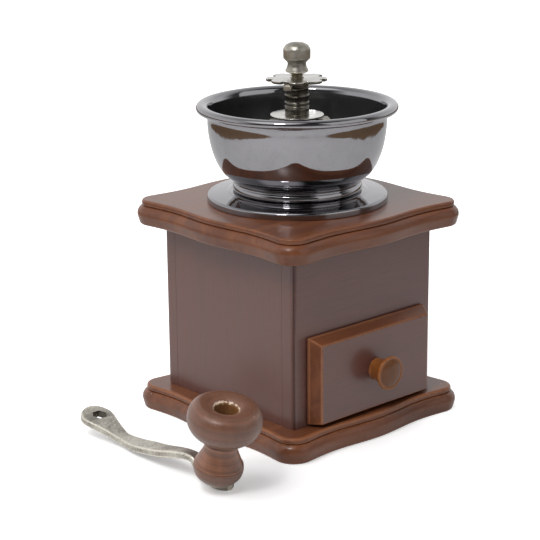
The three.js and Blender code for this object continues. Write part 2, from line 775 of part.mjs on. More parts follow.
// Forged bar with chamfered edges, fuller underneath at the elbow it rests on
function makeArm() {
  const curve = new THREE.SplineCurve(ARM_TOP.map(([x, z]) => new THREE.Vector2(x, z)));
  const loops = ARM_PLAN.map(([x, near, far, chamfer]) => {
    const t = THREE.MathUtils.clamp(along(curve, x), 0, 1);
    const top = curve.getPointAt(t);
    const run = curve.getTangentAt(t);
    const edge = Math.min(ARM_EDGE, chamfer);
    const keel = ARM_T + ARM_ELBOW.depth * Math.exp(-(((x - ARM_ELBOW.x) / ARM_ELBOW.reach) ** 2));
    const section = [
      [near, -edge],
      [near + edge, 0],
      [far - chamfer, 0],
      [far, -chamfer],
      [far, edge - ARM_T],
      [far - edge, -ARM_T],
      [(near + far) / 2, -keel],
      [near + edge, -ARM_T],
      [near, edge - ARM_T],
    ];
    return section.map(([y, up]) => new THREE.Vector3(top.x - run.y * up, y, top.y + run.x * up));
  });
  const rivetHole = rod(SPINDLE_R + 0.3, FOOT_TOP - 8, FOOT_TOP + 4, SMALL, SPINDLE_X);
  return cut(loft(loops), hexagon(EYE_HEX, -8, 4), rivetHole);
}

// The crank as it lies on the floor, on the tip of its arm, in line with the left side of the box
function makeCrank() {
  const group = new THREE.Group();
  const handleFoot = FOOT_TOP + HANDLE_GAP;
  const well = join(
    rod(HANDLE_WELL_R, HANDLE_WELL, 60, MEDIUM),
    rod(SPINDLE_R + BORE_GAP, -1, HANDLE_WELL + 1, SMALL),
  );
  const head = HANDLE_GAP + HANDLE_WELL + 0.3;
  const spindle = [
    [0, -ARM_T],
    [SPINDLE_R, -ARM_T],
    [SPINDLE_R, head],
    [SPINDLE_HEAD_R, head],
    [SPINDLE_HEAD_R - 0.4, head + 1.5],
    [0, head + 2.2],
  ];
  const arm = piece(group, "crank_arm", makeArm(), NICKEL);
  piece(group, "crank_knob", cut(turned(HANDLE_PROFILE, HANDLE_FACETS), well), WALNUT, SPINDLE_X, 0, handleFoot);
  piece(group, "crank_spindle", turned(spindle, SMALL), STEEL, SPINDLE_X, 0, FOOT_TOP);
  group.rotation.set(0, radians(CRANK_PITCH), radians(CRANK_YAW), "ZYX");
  group.updateMatrixWorld(true);
  const low = new THREE.Box3().setFromObject(arm, true).min.z;
  group.position.set(CRANK_EYE[0], CRANK_EYE[1], -low);
  return group;
}

const mill = new THREE.Group();
mill.name = "coffee_mill";
mill.add(makeCase(), makeDrawer(), makeHopper(), makeBridge(), makeGear(), makeTop(), makeCrank());

export default mill;
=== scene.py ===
"""A hand coffee mill with its crank lying beside it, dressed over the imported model."""
import math

import bmesh
import bpy
import numpy as np
from bpy.props import FloatProperty, FloatVectorProperty, IntProperty, PointerProperty
from mathutils import Matrix, Vector


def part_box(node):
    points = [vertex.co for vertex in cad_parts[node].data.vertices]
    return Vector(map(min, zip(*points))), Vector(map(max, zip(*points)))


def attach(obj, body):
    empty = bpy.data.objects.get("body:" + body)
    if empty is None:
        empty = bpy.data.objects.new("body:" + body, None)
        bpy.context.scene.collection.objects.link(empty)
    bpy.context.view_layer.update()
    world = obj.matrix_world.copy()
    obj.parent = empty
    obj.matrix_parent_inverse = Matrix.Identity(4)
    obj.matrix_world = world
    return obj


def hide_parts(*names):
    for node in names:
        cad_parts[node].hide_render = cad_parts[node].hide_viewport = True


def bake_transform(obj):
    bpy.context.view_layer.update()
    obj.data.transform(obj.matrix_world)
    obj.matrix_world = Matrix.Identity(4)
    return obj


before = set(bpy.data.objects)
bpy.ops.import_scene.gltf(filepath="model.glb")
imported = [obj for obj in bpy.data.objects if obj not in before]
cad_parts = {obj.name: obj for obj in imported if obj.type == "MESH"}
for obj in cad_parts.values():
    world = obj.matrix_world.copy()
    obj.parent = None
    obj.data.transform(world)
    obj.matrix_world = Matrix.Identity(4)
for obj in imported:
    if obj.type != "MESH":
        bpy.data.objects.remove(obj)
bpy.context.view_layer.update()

bl_info = {
    "name": "Hand Coffee Mill",
    "version": (1, 0, 0),
    "blender": (4, 5, 0),
    "location": "3D View > Sidebar > Coffee Mill",
    "description": "Builds the wood, metal and crank of a hand coffee mill over its packed solids",
    "category": "Object",
}

MM = 0.001
# Points nearer than this are one: in metres within a shape, in millimetres within a profile
MERGE_DISTANCE = 1e-6
SAME_POINT = 1e-6

# Box and boards, in millimetres as all the sizes below
BOX_HALF = 50
WALL = 8.5
BOX_EDGE_R = 2.5
BASE_T = 13
BOX_TOP = 103.25
DECK = 116
BASE_HALF = 60.6
TOP_HALF = 60.5
WAVE = 1.2
WAVE_PITCH = 64
BOARD_CORNER_R = 9
BOARD_HOLE_R = 31
# Edge moulding from the top face down: depth below the top, distance outside the lip
LIP = [[0, -1.35], [0.12, -0.75], [0.45, -0.25], [1.1, 0], [2.5, 0]]
QUIRK = [[2.5, 0], [2.85, -0.35], [3.1, -0.7]]
OGEE = [[3.1, -0.7], [3.3, 0.1], [3.8, 0.9], [5.2, 2.0], [7.4, 2.6], [10.2, 2.0], [12.5, 1.3], [12.97, 0.8]]
UNDER_SCREWS = [(-45.75, -24), (45.75, -24), (-45.75, 24), (45.75, 24)]
DECK_SCREWS = [(0, -44.25), (44.25, 0), (0, 44.25), (-44.25, 0)]
WOOD_SCREW = [[0, 0], [2.9, 0], [2.9, 0.4], [1.5, 2.4], [1.5, 27], [0, 31]]
SCREW_RECESS = [[0, -1], [3.1, -1], [3.1, 0.6], [1.7, 2.8], [0, 2.8]]
HEAD_SINK = 0.5

# Drawer
DRAWER_X = 0.75
DRAWER_Y = -50.25
OPENING_HALF = 37
OPENING_TOP = 56.5
FRONT_HALF = 42
FRONT_Z = (14.25, 60.25)
FRONT_T = 8
FRONT_STRAIGHT = 1.5
FRONT_BEVEL = 3.3
FRONT_FOOT_BEVEL = 0.75
KNOB_Z = 36
KNOB_PROFILE = [
    [0, 0], [5.8, 0], [5.9, 0.6], [5.6, 1.0], [5.65, 2.2], [6.2, 4.2], [7.1, 6.4], [8.2, 8.3], [8.9, 9.4],
    [8.75, 10.2],
]
KNOB_FACE = [[8.75, 10.2], [8.35, 10.55], [7.95, 10.5], [7.5, 10.35], [5.5, 10.95], [3.0, 11.38], [0, 11.5]]
# Painted shade on the drawer knob's face: above this height, inside this radius, fading over this width
KNOB_SHADE_Z = 10
KNOB_SHADE_R = 8.2
KNOB_SHADE_FADE = 1.4

# Hopper
SHEET = 1.2
THROAT_R = 21.5
FLANGE_SEAT = 121.5
BOWL_FLOOR = FLANGE_SEAT + SHEET
BOWL_WELL_R = 31.6
BOWL_WELL_TOP = 126
FLANGE = [
    [47.5, DECK], [47.5, 119.1], [46.7, 119.9], [37, 121.0], [35.6, 121.5], [24.9, 121.5],
    [24.9, 120.3], [35.2, 120.3], [46.3, 118.7], [46.3, DECK],
]
BOWL_OUTSIDE = [
    [32.8, 121.5], [33.9, 122.6], [33.7, 124.6], [32.9, 125.9], [35.0, 128.1], [38.9, 131.6],
    [41.4, 135.3], [44.4, 142.6], [46.1, 150.5], [46.7, 156.5], [46.85, 161.2], [47.7, 162.9], [50.4, 163.1],
    [52.1, 164.0], [52.5, 165.4], [51.6, 167.0], [49.4, 167.5], [47.0, 166.6], [45.9, 164.2],
]
BOWL_WALL = slice(4, 11)

# Grinding gear
BRIDGE_TOP = 161.25
BRIDGE_R = 14
BRIDGE_T = 1.8
LEG_WIDTH = 9
LEG_COUNT = 3
SCREW_RING_R = 27.5
SCREW_R = 2
SCREW_HEAD_R = 3
SCREW_FOOT = 96
SHAFT_R = 4
BORE_R = SHAFT_R + 0.1
SHAFT_FOOT = 82.5
SHAFT_TOP = 193
SLEEVE_TOP = 178.5
SLEEVE_R = 6.1
SLEEVE_FOOT_R = 6.3
SLEEVE_FOOT_TOP = 164.6
SLEEVE_RIDGE_R = 6.6
SLEEVE_RIDGE_HALF = 0.7
SLEEVE_RIDGES = [165.5, 167.6, 171.4, 175.2]
THREAD_R = 3.5
THREAD_DEPTH = 0.9
THREAD_PITCH = 1.1
WHEEL_Z = 178.75
WHEEL_T = 1.5
WHEEL_R = 16.2
WHEEL_BORE_R = THREAD_R + 0.15
WHEEL_STEPS = 320
# Outline of the wheel: lobes on a slower unevenness, and the radii of the round notches between the lobes
WHEEL_LOBES = 8
WHEEL_LOBE_RISE = 0.6
WHEEL_SWAYS = 5
WHEEL_SWAY_RISE = 0.3
WHEEL_MEAN_R = WHEEL_R - 0.9
WHEEL_NOTCH_RING_R = WHEEL_R - 1.3
WHEEL_NOTCHES = (2.3, 1.6, 2.6, 1.9, 2.5, 1.7, 2.1, 2.7)
# Section of the wheel's plate: height, how far inside its outline. The bore closes the section.
WHEEL_SECTION = [
    (0, 0.9), (0, 0.3), (0.1, 0.1), (0.3, 0), (WHEEL_T - 0.3, 0), (WHEEL_T - 0.1, 0.1), (WHEEL_T, 0.3),
    (WHEEL_T, 0.9),
]
NUT_FOOT = 183.25
NUT = [
    [3.65, 0], [5.6, 0], [6, 0.5], [5.95, 1.0], [5.5, 2.0], [5.0, 3.0], [4.8, 4.2], [4.85, 5.0],
    [5.8, 6.1], [7.05, 7.1], [7.05, 12.1],
    [5.9, 14.0], [3.4, 15.2], [0, 15.5], [0, 10.2], [3.65, 10.2],
]
SPRING_R = 5.7
SPRING_WIRE_R = 0.8
SPRING_TURNS = 7
SPRING_Z = (119.9, 157.05)

# Crank, in its own frame: x runs along the arm from the eye, z is the spindle direction
ARM_T = 3.75
ARM_EDGE = 0.7
ELBOW_X = 28
ELBOW_REACH = 9
ELBOW_DEPTH = 2.1
EYE_HEX = 7
SPINDLE_X = 95.5
FOOT_TOP = 14.4
HANDLE_GAP = 0.5
HANDLE_Z = FOOT_TOP + HANDLE_GAP
WELL_FLOOR = 28
# Plan of the bar from the round eye to the foot: x, near edge, far edge, far edge's chamfer
ARM_PLAN = [
    [-9.7, -0.2, 0.2, 0.1], [-8.8, -4.0, 3.4, 0.5], [-6.5, -7.2, 6.0, 0.7], [-3, -9.2, 7.6, 0.7],
    [0, -9.7, 8.0, 0.7], [4, -9.0, 7.2, 0.8], [9, -7.6, 5.8, 1.0], [15, -6.2, 4.6, 1.6],
    [21, -5.4, 4.0, 2.2], [26, -5.0, 4.3, 2.0], [32, -5.2, 5.1, 1.0], [38, -5.5, 5.8, 0.7],
    [48, -5.6, 5.4, 0.7], [57, -5.5, 4.7, 0.8], [67, -5.0, 4.2, 1.6], [74, -4.5, 4.0, 2.2],
    [78, -4.3, 4.0, 2.3], [81, -4.2, 4.0, 2.0], [84, -4.1, 4.2, 1.4], [88, -4.0, 4.6, 0.8],
    [95.5, -3.8, 6.0, 0.7], [99, -2.4, 7.3, 0.7], [101.2, 0.0, 6.4, 0.6], [102.2, 2.0, 4.6, 0.3],
]
# Upper face of the bar: x, z
ARM_TOP = [
    [-9.7, 0], [0, 0], [14, 0.1], [24, 0.5], [34, 2.0], [43, 5.2], [54, 9.6], [65, 14.9],
    [74, 18.6], [79.5, 19.5], [82.3, 18.3], [84.4, 16.3], [87, 14.8], [90, 14.4], [96, 14.4],
    [102.2, 14.5],
]
CRANK_PITCH = math.radians(12)
CRANK_YAW = math.radians(268.6)
CRANK_EYE = (-103.7, 40.9)
HANDLE_FOOT = [[2.5, 0], [7.0, 0]]
HANDLE_BELL = [[7.0, 0], [9.6, 1.2], [11.6, 3.8], [12.25, 6.9], [12.1, 8.2]]
HANDLE_GROOVES = [[12.1, 8.2], [11.75, 8.5], [12.0, 8.9], [11.9, 9.3], [11.5, 9.7]]
HANDLE_NECK = [[11.5, 9.7], [11.3, 10.1], [11.0, 10.7], [10.0, 12.8], [8.9, 15.2], [8.2, 17.2], [8.0, 18.9]]
HANDLE_BEAD = [[8.0, 18.9], [8.55, 19.3], [8.75, 20.2], [8.5, 21.0]]
HANDLE_BULB = [
    [8.5, 21.0], [9.6, 21.8], [12.4, 23.6], [15.9, 26.8], [17.8, 30.2], [18.2, 33.4], [17.6, 36.8],
    [15.8, 39.6], [13.0, 40.9], [10.2, 40.7],
]
HANDLE_RIM = [[10.2, 40.7], [8.2, 40.1], [6.8, 39.4], [5.9, 38.4]]
HANDLE_WELL = [[5.6, 37.4], [5.6, WELL_FLOOR], [2.5, WELL_FLOOR]]
SPINDLE_R = 2.4
SPINDLE_HEAD_R = 4.4
# Marks on the handle: nearness to the rim of its well, 1 inside the well, and height along the spindle
HANDLE_MARKS = {
    "rim": lambda r, z: max(0.0, 1 - abs(r - 6.3) / 0.65) if z > 38 else 0.0,
    "well": lambda r, z: float(r < 6.2 and z > 20),
    "turned": lambda r, z: (z + HANDLE_Z) * MM,
}

# Steps round a turned piece and along one span of a curve
ROUND_LARGE = 160
ROUND = 128
ROUND_MEDIUM = 96
ROUND_SMALL = 48
ROUND_THREAD = 36
SPAN_STEPS = 8
THREAD_STEPS = 8

# Depth of a wood's fibres in its colour, under lacquer and bare
LACQUERED_CONTRAST = 0.05
BARE_CONTRAST = 0.11

# Stage, in metres: the camera, the lamps' places, and what the floor's finish is measured from
CAMERA_AT = (-0.6069, -0.6480, 0.33605)
CAMERA_PAN = 0.736
CAMERA_TILT = 0.284
CAMERA_ROLL = -0.009
LAMP_TARGET = (0, 0, 0.08)
KEY_AT = (-0.74, -0.06, 1.22)
KEY_SIZE = 0.9
SPARK_AT = (-0.72, -0.30, 1.02)
SPARK_SIZE = 0.17
FILL_AT = (0.35, -1.15, 0.75)
FILL_SIZE = 1.2
FLOOR_HALF = 9
SHEET_AHEAD = (-0.67, -0.74, 0)
SHEET_ACROSS = (0.74, -0.67, 0)
HANDLE_SPOT = (-0.10, -0.07, 0)
# Light round the room: sine of the height and level
SKY = [(0.0, 0.92), (0.38, 0.9), (0.6, 0.72), (0.8, 0.5), (1.0, 0.35)]
ROOM_AHEAD = (-0.35, -0.94, 0)
PANEL_TOWARDS = (-0.52, -0.06, 0.85)
PANEL_LIGHT = (1.5, 1.5, 1.5, 1.0)
WHITE = (1.0, 1.0, 1.0, 1.0)


def tint(name, description, default):
    """A colour among the settings."""
    return FloatVectorProperty(
        name=name, description=description, subtype="COLOR", size=3, min=0, max=1, default=default)


def share(name, description, default):
    """A share from 0 to 1 among the settings."""
    return FloatProperty(name=name, description=description, subtype="FACTOR", min=0, max=1, default=default)


def length(name, description, least, most, default):
    """A length in metres among the settings."""
    return FloatProperty(
        name=name, description=description, subtype="DISTANCE", unit="LENGTH", min=least, max=most,
        default=default)


def power(name, description, default):
    """A lamp's power in watts among the settings."""
    return FloatProperty(
        name=name, description=description, subtype="POWER", unit="POWER", min=0, max=100, default=default)


class MillWood(bpy.types.PropertyGroup):
    """Colours and wear of the wooden pieces, with painted light and shade in some of them."""
    walnut_dark: tint(
        "Walnut, dark grain", "Stained case wood between the bands of its figure", (0.110, 0.0355, 0.0150))
    walnut_light: tint(
        "Walnut, light grain", "Stained case wood in the bands of its figure", (0.166, 0.0540, 0.0210))
    # The walls' colours are a darker, bluer copy of the walnut: painted shade on the upright faces and a
    # painted bluish sheen
    shaded_wall_dark: tint(
        "Shaded walls, dark grain", "Stained walls between the bands of their figure", (0.097, 0.035, 0.0255))
    shaded_wall_light: tint(
        "Shaded walls, light grain", "Stained walls in the bands of their figure", (0.113, 0.0405, 0.0295))
    walnut_worn: tint(
        "Walnut, rubbed edges", "Where the stain has worn thin on lips and arrises", (0.30, 0.112, 0.044))
    amber_dark: tint(
        "Amber wood, dark grain", "Drawer knob between the bands of its figure", (0.215, 0.068, 0.015))
    amber_light: tint(
        "Amber wood, light grain", "Drawer knob in the bands of its figure", (0.270, 0.090, 0.020))
    handle_dark: tint(
        "Handle, dark grain", "Crank handle between the bands of its figure", (0.128, 0.052, 0.028))
    handle_light: tint(
        "Handle, light grain", "Crank handle in the bands of its figure", (0.154, 0.063, 0.034))
    # The well's bare wood, darkened with painted shade for its recess
    shaded_well_dark: tint("Handle well, shaded dark", "Bare wood inside the handle's well", (0.12, 0.048, 0.014))
    shaded_well_light: tint(
        "Handle well, shaded light", "Bare wood inside the handle's well, lighter spots", (0.25, 0.115, 0.040))
    raw_dark: tint("Bare wood, dark grain", "Drawer tray between the bands of its figure", (0.42, 0.25, 0.12))
    raw_light: tint("Bare wood, light grain", "Drawer tray in the bands of its figure", (0.60, 0.41, 0.24))
    # Painted shade: how much the knob's face is darkened for the dark room that its dish reflects
    face_shade: share("Knob face shade", "How much darker the face of the drawer knob is than its rim", 0.5)
    chip: tint("Chips", "Pale wood where the lacquer has flaked", (0.72, 0.55, 0.40))
    wear: share("Edge wear", "How far the rubbed colour spreads from each edge", 0.22)
    band_width: length("Band width", "Width of one band of the wood's figure", 0.001, 0.05, 0.009)


class MillMetal(bpy.types.PropertyGroup):
    """Colours and polish of the metal pieces, with a lighter and a darker copy of the nickel that paint light
    and shade.
    """
    black_nickel: tint("Black nickel", "Mirror plating of the hopper", (0.322, 0.316, 0.330))
    nickel: tint("Satin nickel", "Plating of the crank, the lock tab and the cap nut", (0.56, 0.53, 0.46))
    # A smoother, lighter copy of the satin nickel: the lighter colour is painted light for the backdrop that
    # the disc and wheel reflect
    lit_bright_nickel: tint("Lit bright nickel", "Plating of the bridge's disc and the wheel", (0.64, 0.625, 0.59))
    # Painted shade: the inside of the bowl takes this darker plating
    lining: tint("Bowl lining", "Darker plating inside the bowl", (0.13, 0.13, 0.13))
    brass: tint("Thread", "Warm metal of the threaded shaft", (0.48, 0.43, 0.34))
    # Painted shade: a darker copy of the nickel for the sleeve, the legs inside the bowl, the wheel's rim and
    # the crank's eye hole
    shaded_nickel: tint("Shaded nickel", "Dulled plating of the sleeve and the bridge's legs", (0.13, 0.12, 0.10))
    steel: tint("Steel", "Spindle, spring, washers and screws", (0.56, 0.56, 0.57))
    iron: tint("Cast iron", "The two burrs", (0.16, 0.16, 0.17))
    mirror_roughness: share("Mirror roughness", "Least roughness of the hopper's plating", 0.045)
    satin_roughness: share("Satin roughness", "Least roughness of the satin nickel pieces", 0.34)


class MillShape(bpy.types.PropertyGroup):
    """Roundings of the edges and steps of the moulded boards."""
    board_steps: IntProperty(
        name="Board edge steps", description="Points along each side of a moulded board",
        min=8, max=200, default=56)
    wall_edge: length("Wall edge", "Rounding of the walls' and tray's edges", 0.0001, 0.002, 0.00018)
    front_edge: length(
        "Drawer front edge", "Rounding of the drawer front's edges and mitres", 0.0001, 0.002, 0.0007)
    metal_edge: length("Metal edge", "Rounding of the small metal pieces' edges", 0.00005, 0.001, 0.00025)


class MillStage(bpy.types.PropertyGroup):
    """Camera, floor and light."""
    floor_colour: tint("Floor", "Colour of the pale floor", (0.80, 0.80, 0.80))
    table_colour: tint("Table", "Colour of the table beyond the edges of the pale floor", (0.26, 0.17, 0.11))
    sheet_front: length(
        "Floor front edge", "How far the pale floor reaches in front of the mill", 0.2, 9, 0.95)
    sheet_side: length(
        "Floor side edges", "How far the pale floor reaches to either side of the mill", 0.2, 9, 0.50)
    floor_lift: FloatProperty(
        name="Floor lift", description="Light added to the floor as the camera sees it",
        min=0, max=1, default=0.80)
    key_power: power("Key light", "Power of the large lamp at the left", 9.5)
    spark_power: power("Spark light", "Power of the small lamp that makes the highlights", 2.6)
    fill_power: power("Fill light", "Power of the lamp at the right", 3.6)
    lens: FloatProperty(
        name="Lens", description="Focal length of the camera", subtype="DISTANCE_CAMERA",
        min=10, max=500, default=115.72)


def wood():
    """The settings for wood."""
    return bpy.context.scene.mill_wood


def metal():
    """The settings for metal."""
    return bpy.context.scene.mill_metal


def sizes():
    """The settings for edges and steps."""
    return bpy.context.scene.mill_shape


# Curves and shells


def spline(points, steps=SPAN_STEPS):
    """A smooth curve through points of any number of coordinates, as an array."""
    given = np.array(points, float)
    first = 2 * given[0] - given[1]
    last = 2 * given[-1] - given[-2]
    full = np.vstack([first, given, last])
    made = []
    for k in range(1, len(full) - 2):
        p = full[k - 1:k + 3]
        gaps = np.maximum(np.sqrt(np.linalg.norm(np.diff(p, axis=0), axis=1)), SAME_POINT)
        t = np.concatenate([[0], np.cumsum(gaps)])
        for s in np.linspace(t[1], t[2], steps, endpoint=False):
            a = [(t[i + 1] - s) / gaps[i] * p[i] + (s - t[i]) / gaps[i] * p[i + 1] for i in range(3)]
            b = [(t[i + 2] - s) / (t[i + 2] - t[i]) * a[i] + (s - t[i]) / (t[i + 2] - t[i]) * a[i + 1]
                 for i in range(2)]
            made.append((t[2] - s) / gaps[1] * b[0] + (s - t[1]) / gaps[1] * b[1])
    made.append(given[-1])
    return np.array(made)


def run_together(*runs):
    """Runs of points end to end, with the points that they share kept once."""
    made = []
    for point in (list(map(float, point)) for run in runs for point in run):
        if not made or math.dist(point, made[-1]) > SAME_POINT:
            made.append(point)
    return made


def rounded(points, radius, steps=4, closed=False):
    """A polygon with every corner rounded over, none of it outside the polygon."""
    count = len(points)
    made = []
    for i, point in enumerate(points):
        here = np.array(point, float)
        if not closed and i in (0, count - 1):
            made.append(here.tolist())
            continue
        before = np.array(points[i - 1], float) - here
        after = np.array(points[(i + 1) % count], float) - here
        long_before, long_after = np.linalg.norm(before), np.linalg.norm(after)
        cut = min(radius, 0.45 * long_before, 0.45 * long_after)
        start, end = here + before * cut / long_before, here + after * cut / long_after
        for t in np.linspace(0, 1, steps + 1):
            made.append(((1 - t) ** 2 * start + 2 * t * (1 - t) * here + t * t * end).tolist())
    return made


def tidy(shape):
    """Merges doubled points and turns the faces of closed shells outwards."""
    bmesh.ops.remove_doubles(shape, verts=shape.verts[:], dist=MERGE_DISTANCE)
    bmesh.ops.recalc_face_normals(shape, faces=shape.faces[:])
    return shape


def shell(points, faces):
    """A closed mesh from points in millimetres and the faces between them."""
    shape = bmesh.new()
    corners = [shape.verts.new(Vector(point) * MM) for point in points]
    for face in faces:
        shape.faces.new([corners[i] for i in face])
    return tidy(shape)


def round_loop(radius, z, segments):
    """One loop round the Z axis, of a plain radius or of one that a function gives for each turn."""
    turns = np.arange(segments) * 2 * math.pi / segments
    radii = [radius(a) if callable(radius) else radius for a in turns]
    return [(r * math.cos(a), r * math.sin(a), z) for r, a in zip(radii, turns)]


def lathe(profile, segments=ROUND, ring=False):
    """A piece turned round the Z axis from points of radius and height. A ring's profile is closed."""
    points, rows, faces = [], [], []
    for r, z in profile:
        loop = [(0, 0, z)] if r < SAME_POINT else round_loop(r, z, segments)
        rows.append(range(len(points), len(points) + len(loop)))
        points += loop
    pairs = list(zip(rows, rows[1:]))
    if ring:
        pairs.append((rows[-1], rows[0]))
    for low, high in pairs:
        for i in range(segments):
            j = (i + 1) % segments
            corners = [low[i % len(low)], low[j % len(low)], high[j % len(high)], high[i % len(high)]]
            face = list(dict.fromkeys(corners))
            if len(face) > 2:
                faces.append(face)
    return shell(points, faces)


def loft(loops, ring=False):
    """A skin through equally long loops, capped at both ends or, as a ring, closed on itself."""
    count = len(loops[0])
    points = [point for loop in loops for point in loop]
    faces = []
    for k in range(len(loops) if ring else len(loops) - 1):
        below, above = k * count, (k + 1) % len(loops) * count
        for i in range(count):
            j = (i + 1) % count
            faces.append((below + i, below + j, above + j, above + i))
    if not ring:
        faces.append(tuple(range(count)))
        faces.append(tuple(range(len(points) - count, len(points))))
    return shell(points, faces)


def block(low, high):
    """A plain block between two corners, in millimetres."""
    (x0, y0, z0), (x1, y1, z1) = low, high
    return loft([[(x0, y0, z), (x1, y0, z), (x1, y1, z), (x0, y1, z)] for z in (z0, z1)])


def board(node, edge):
    """A plain board in the place of a CAD node, with its edges rounded over."""
    low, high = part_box(node)
    return tidy(eased(block(low / MM, high / MM), edge, 3))


def rod(r, z0, z1, segments=ROUND_SMALL, at=(0, 0)):
    """An upright rod, in millimetres."""
    shape = lathe([[0, z0], [r, z0], [r, z1], [0, z1]], segments)
    bmesh.ops.translate(shape, verts=shape.verts[:], vec=Vector((at[0], at[1], 0)) * MM)
    return shape


def eased(shape, width, segments=3, least_angle=30, pick=None):
    """A shape with its edges rounded over by a width in metres."""
    least = math.radians(least_angle)
    edges = [e for e in shape.edges if e.is_manifold and e.calc_face_angle(0) > least]
    if pick:
        edges = [e for e in edges if pick(e)]
    bmesh.ops.bevel(
        shape, geom=edges, offset=width, segments=segments, profile=0.5, affect="EDGES", clamp_overlap=True)
    return shape


def worker(shape, name="worker"):
    """A passing object that holds a shape."""
    mesh = bpy.data.meshes.new(name)
    shape.to_mesh(mesh)
    shape.free()
    made = bpy.data.objects.new(name, mesh)
    bpy.context.scene.collection.objects.link(made)
    return made


def settled(obj):
    """The plain mesh that an object's modifiers make."""
    graph = bpy.context.evaluated_depsgraph_get()
    return bpy.data.meshes.new_from_object(obj.evaluated_get(graph), depsgraph=graph)


def discard(*objects):
    """Takes passing objects away with their meshes."""
    for obj in objects:
        mesh = obj.data
        bpy.data.objects.remove(obj)
        bpy.data.meshes.remove(mesh)


def taken_up(mesh):
    """The shape of a passing mesh, which is then taken away."""
    shape = bmesh.new()
    shape.from_mesh(mesh)
    bpy.data.meshes.remove(mesh)
    return tidy(shape)


def carved(shape, *tools):
    """A shape with other shapes cut out of it."""
    body = worker(shape)
    cutters = [worker(tool) for tool in tools]
    for cutter in cutters:
        cut = body.modifiers.new("cut", "BOOLEAN")
        cut.operation = "DIFFERENCE"
        cut.solver = "EXACT"
        cut.object = cutter
    mesh = settled(body)
    discard(body, *cutters)
    return taken_up(mesh)


def cad_copy(node):
    """A CAD piece's own shape, with its loose triangles joined up."""
    shape = bmesh.new()
    shape.from_mesh(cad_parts[node].data)
    bmesh.ops.remove_doubles(shape, verts=shape.verts[:], dist=MERGE_DISTANCE)
    flat = math.radians(0.5)
    bmesh.ops.dissolve_limit(shape, angle_limit=flat, verts=shape.verts[:], edges=shape.edges[:])
    return shape


def mark_edges(mesh, reach=0.0006):
    """Writes how sharply each point of a mesh bends outwards, from 0 to 1, as the attribute worn, which marks
    rubbed edges on wood and painted highlights on metal.
    """
    count = len(mesh.vertices)
    places, normals = np.empty(count * 3), np.empty(count * 3)
    ends = np.empty(len(mesh.edges) * 2, int)
    mesh.vertices.foreach_get("co", places)
    mesh.vertex_normals.foreach_get("vector", normals)
    mesh.edges.foreach_get("vertices", ends)
    places, normals, ends = places.reshape(-1, 3), normals.reshape(-1, 3), ends.reshape(-1, 2)
    a, b = ends[:, 0], ends[:, 1]
    step = places[b] - places[a]
    squared = np.maximum((step ** 2).sum(1), 1e-12)
    bend = np.zeros(count)
    np.maximum.at(bend, a, -2 * (step * normals[a]).sum(1) / squared)
    np.maximum.at(bend, b, 2 * (step * normals[b]).sum(1) / squared)
    worn = mesh.attributes.new("worn", "FLOAT", "POINT")
    worn.data.foreach_set("value", np.clip(bend * reach, 0, 1).astype(np.float32))


def finish_piece(shape, body, slot, material, *nodes, name=None, angle=35, weighted=False, place=None,
                 marks=None):
    """
    Turns a shape into a finished piece that rides on a body and stands for its CAD nodes.
    A piece with no body is left unattached for its caller.
    Each mark is an attribute, from a function of the radius and height in the piece's own frame.
    """
    place = place or Matrix()
    bmesh.ops.transform(shape, matrix=place, verts=shape.verts[:])
    if weighted:
        ringed(shape)
    name = name or nodes[0] + "_dressed"
    obj = worker(shape, name)
    mesh = obj.data
    mesh.shade_smooth()
    mesh.set_sharp_from_angle(angle=math.radians(angle))
    if weighted:
        even = obj.modifiers.new("even", "WEIGHTED_NORMAL")
        even.keep_sharp = True
        even.weight = 50
        obj.data = settled(obj)
        obj.modifiers.clear()
        bpy.data.meshes.remove(mesh)
        mesh = obj.data
        mesh.name = name
    mark_edges(mesh)
    for mark, value in (marks or {}).items():
        points = [place.inverted() @ vertex.co / MM for vertex in mesh.vertices]
        values = [value(math.hypot(point.x, point.y), point.z) for point in points]
        mesh.attributes.new(mark, "FLOAT", "POINT").data.foreach_set("value", values)
    mesh.materials.clear()
    mesh.materials.append(material)
    if body:
        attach(obj, body)
    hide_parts(*nodes)
    return obj


def second_finish(obj, material, chosen):
    """Gives a second material to the faces that a test on their centre and normal picks."""
    obj.data.materials.append(material)
    for face in obj.data.polygons:
        if chosen(face.center, face.normal):
            face.material_index = 1


def ringed(shape, least=40, width=0.7):
    """A narrow ring inside each large flat face, so that what is marked on an edge stays at that edge."""
    wide = []
    for face in shape.faces:
        if face.calc_area() > least * MM * MM and len(face.verts) > 3:
            if len(face.verts) > 4 or min(e.calc_length() for e in face.edges) > 4 * width * MM:
                wide.append(face)
    bmesh.ops.inset_individual(shape, faces=wide, thickness=width * MM, use_even_offset=True)


def dress(node, material):
    """Gives a CAD node, whose shape is right as it is, its finish."""
    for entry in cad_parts[node].material_slots:
        entry.link = "OBJECT"
        entry.material = material


# Shader nodes


def plug(tree, node, inputs):
    """Sets a node's inputs, each given as a value or as another node's output."""
    for key, value in inputs.items():
        if isinstance(value, bpy.types.NodeSocket):
            tree.links.new(value, node.inputs[key])
        else:
            node.inputs[key].default_value = value


def add(tree, kind, inputs=None, **settings):
    """One node with its settings and inputs."""
    made = tree.nodes.new(kind)
    for key, value in settings.items():
        setattr(made, key, value)
    plug(tree, made, inputs or {})
    return made


def calc(tree, operation, a, b=0.0, c=0.0):
    """The output of one Math node."""
    return add(tree, "ShaderNodeMath", {0: a, 1: b, 2: c}, operation=operation).outputs[0]


def vector_calc(tree, operation, a, b, output=0):
    """An output of one Vector Math node."""
    return add(tree, "ShaderNodeVectorMath", {0: a, 1: b}, operation=operation).outputs[output]


def scaled(tree, colour, by):
    """A colour made lighter or darker by a value."""
    return add(tree, "ShaderNodeVectorMath", {0: colour, 3: by}, operation="SCALE").outputs[0]


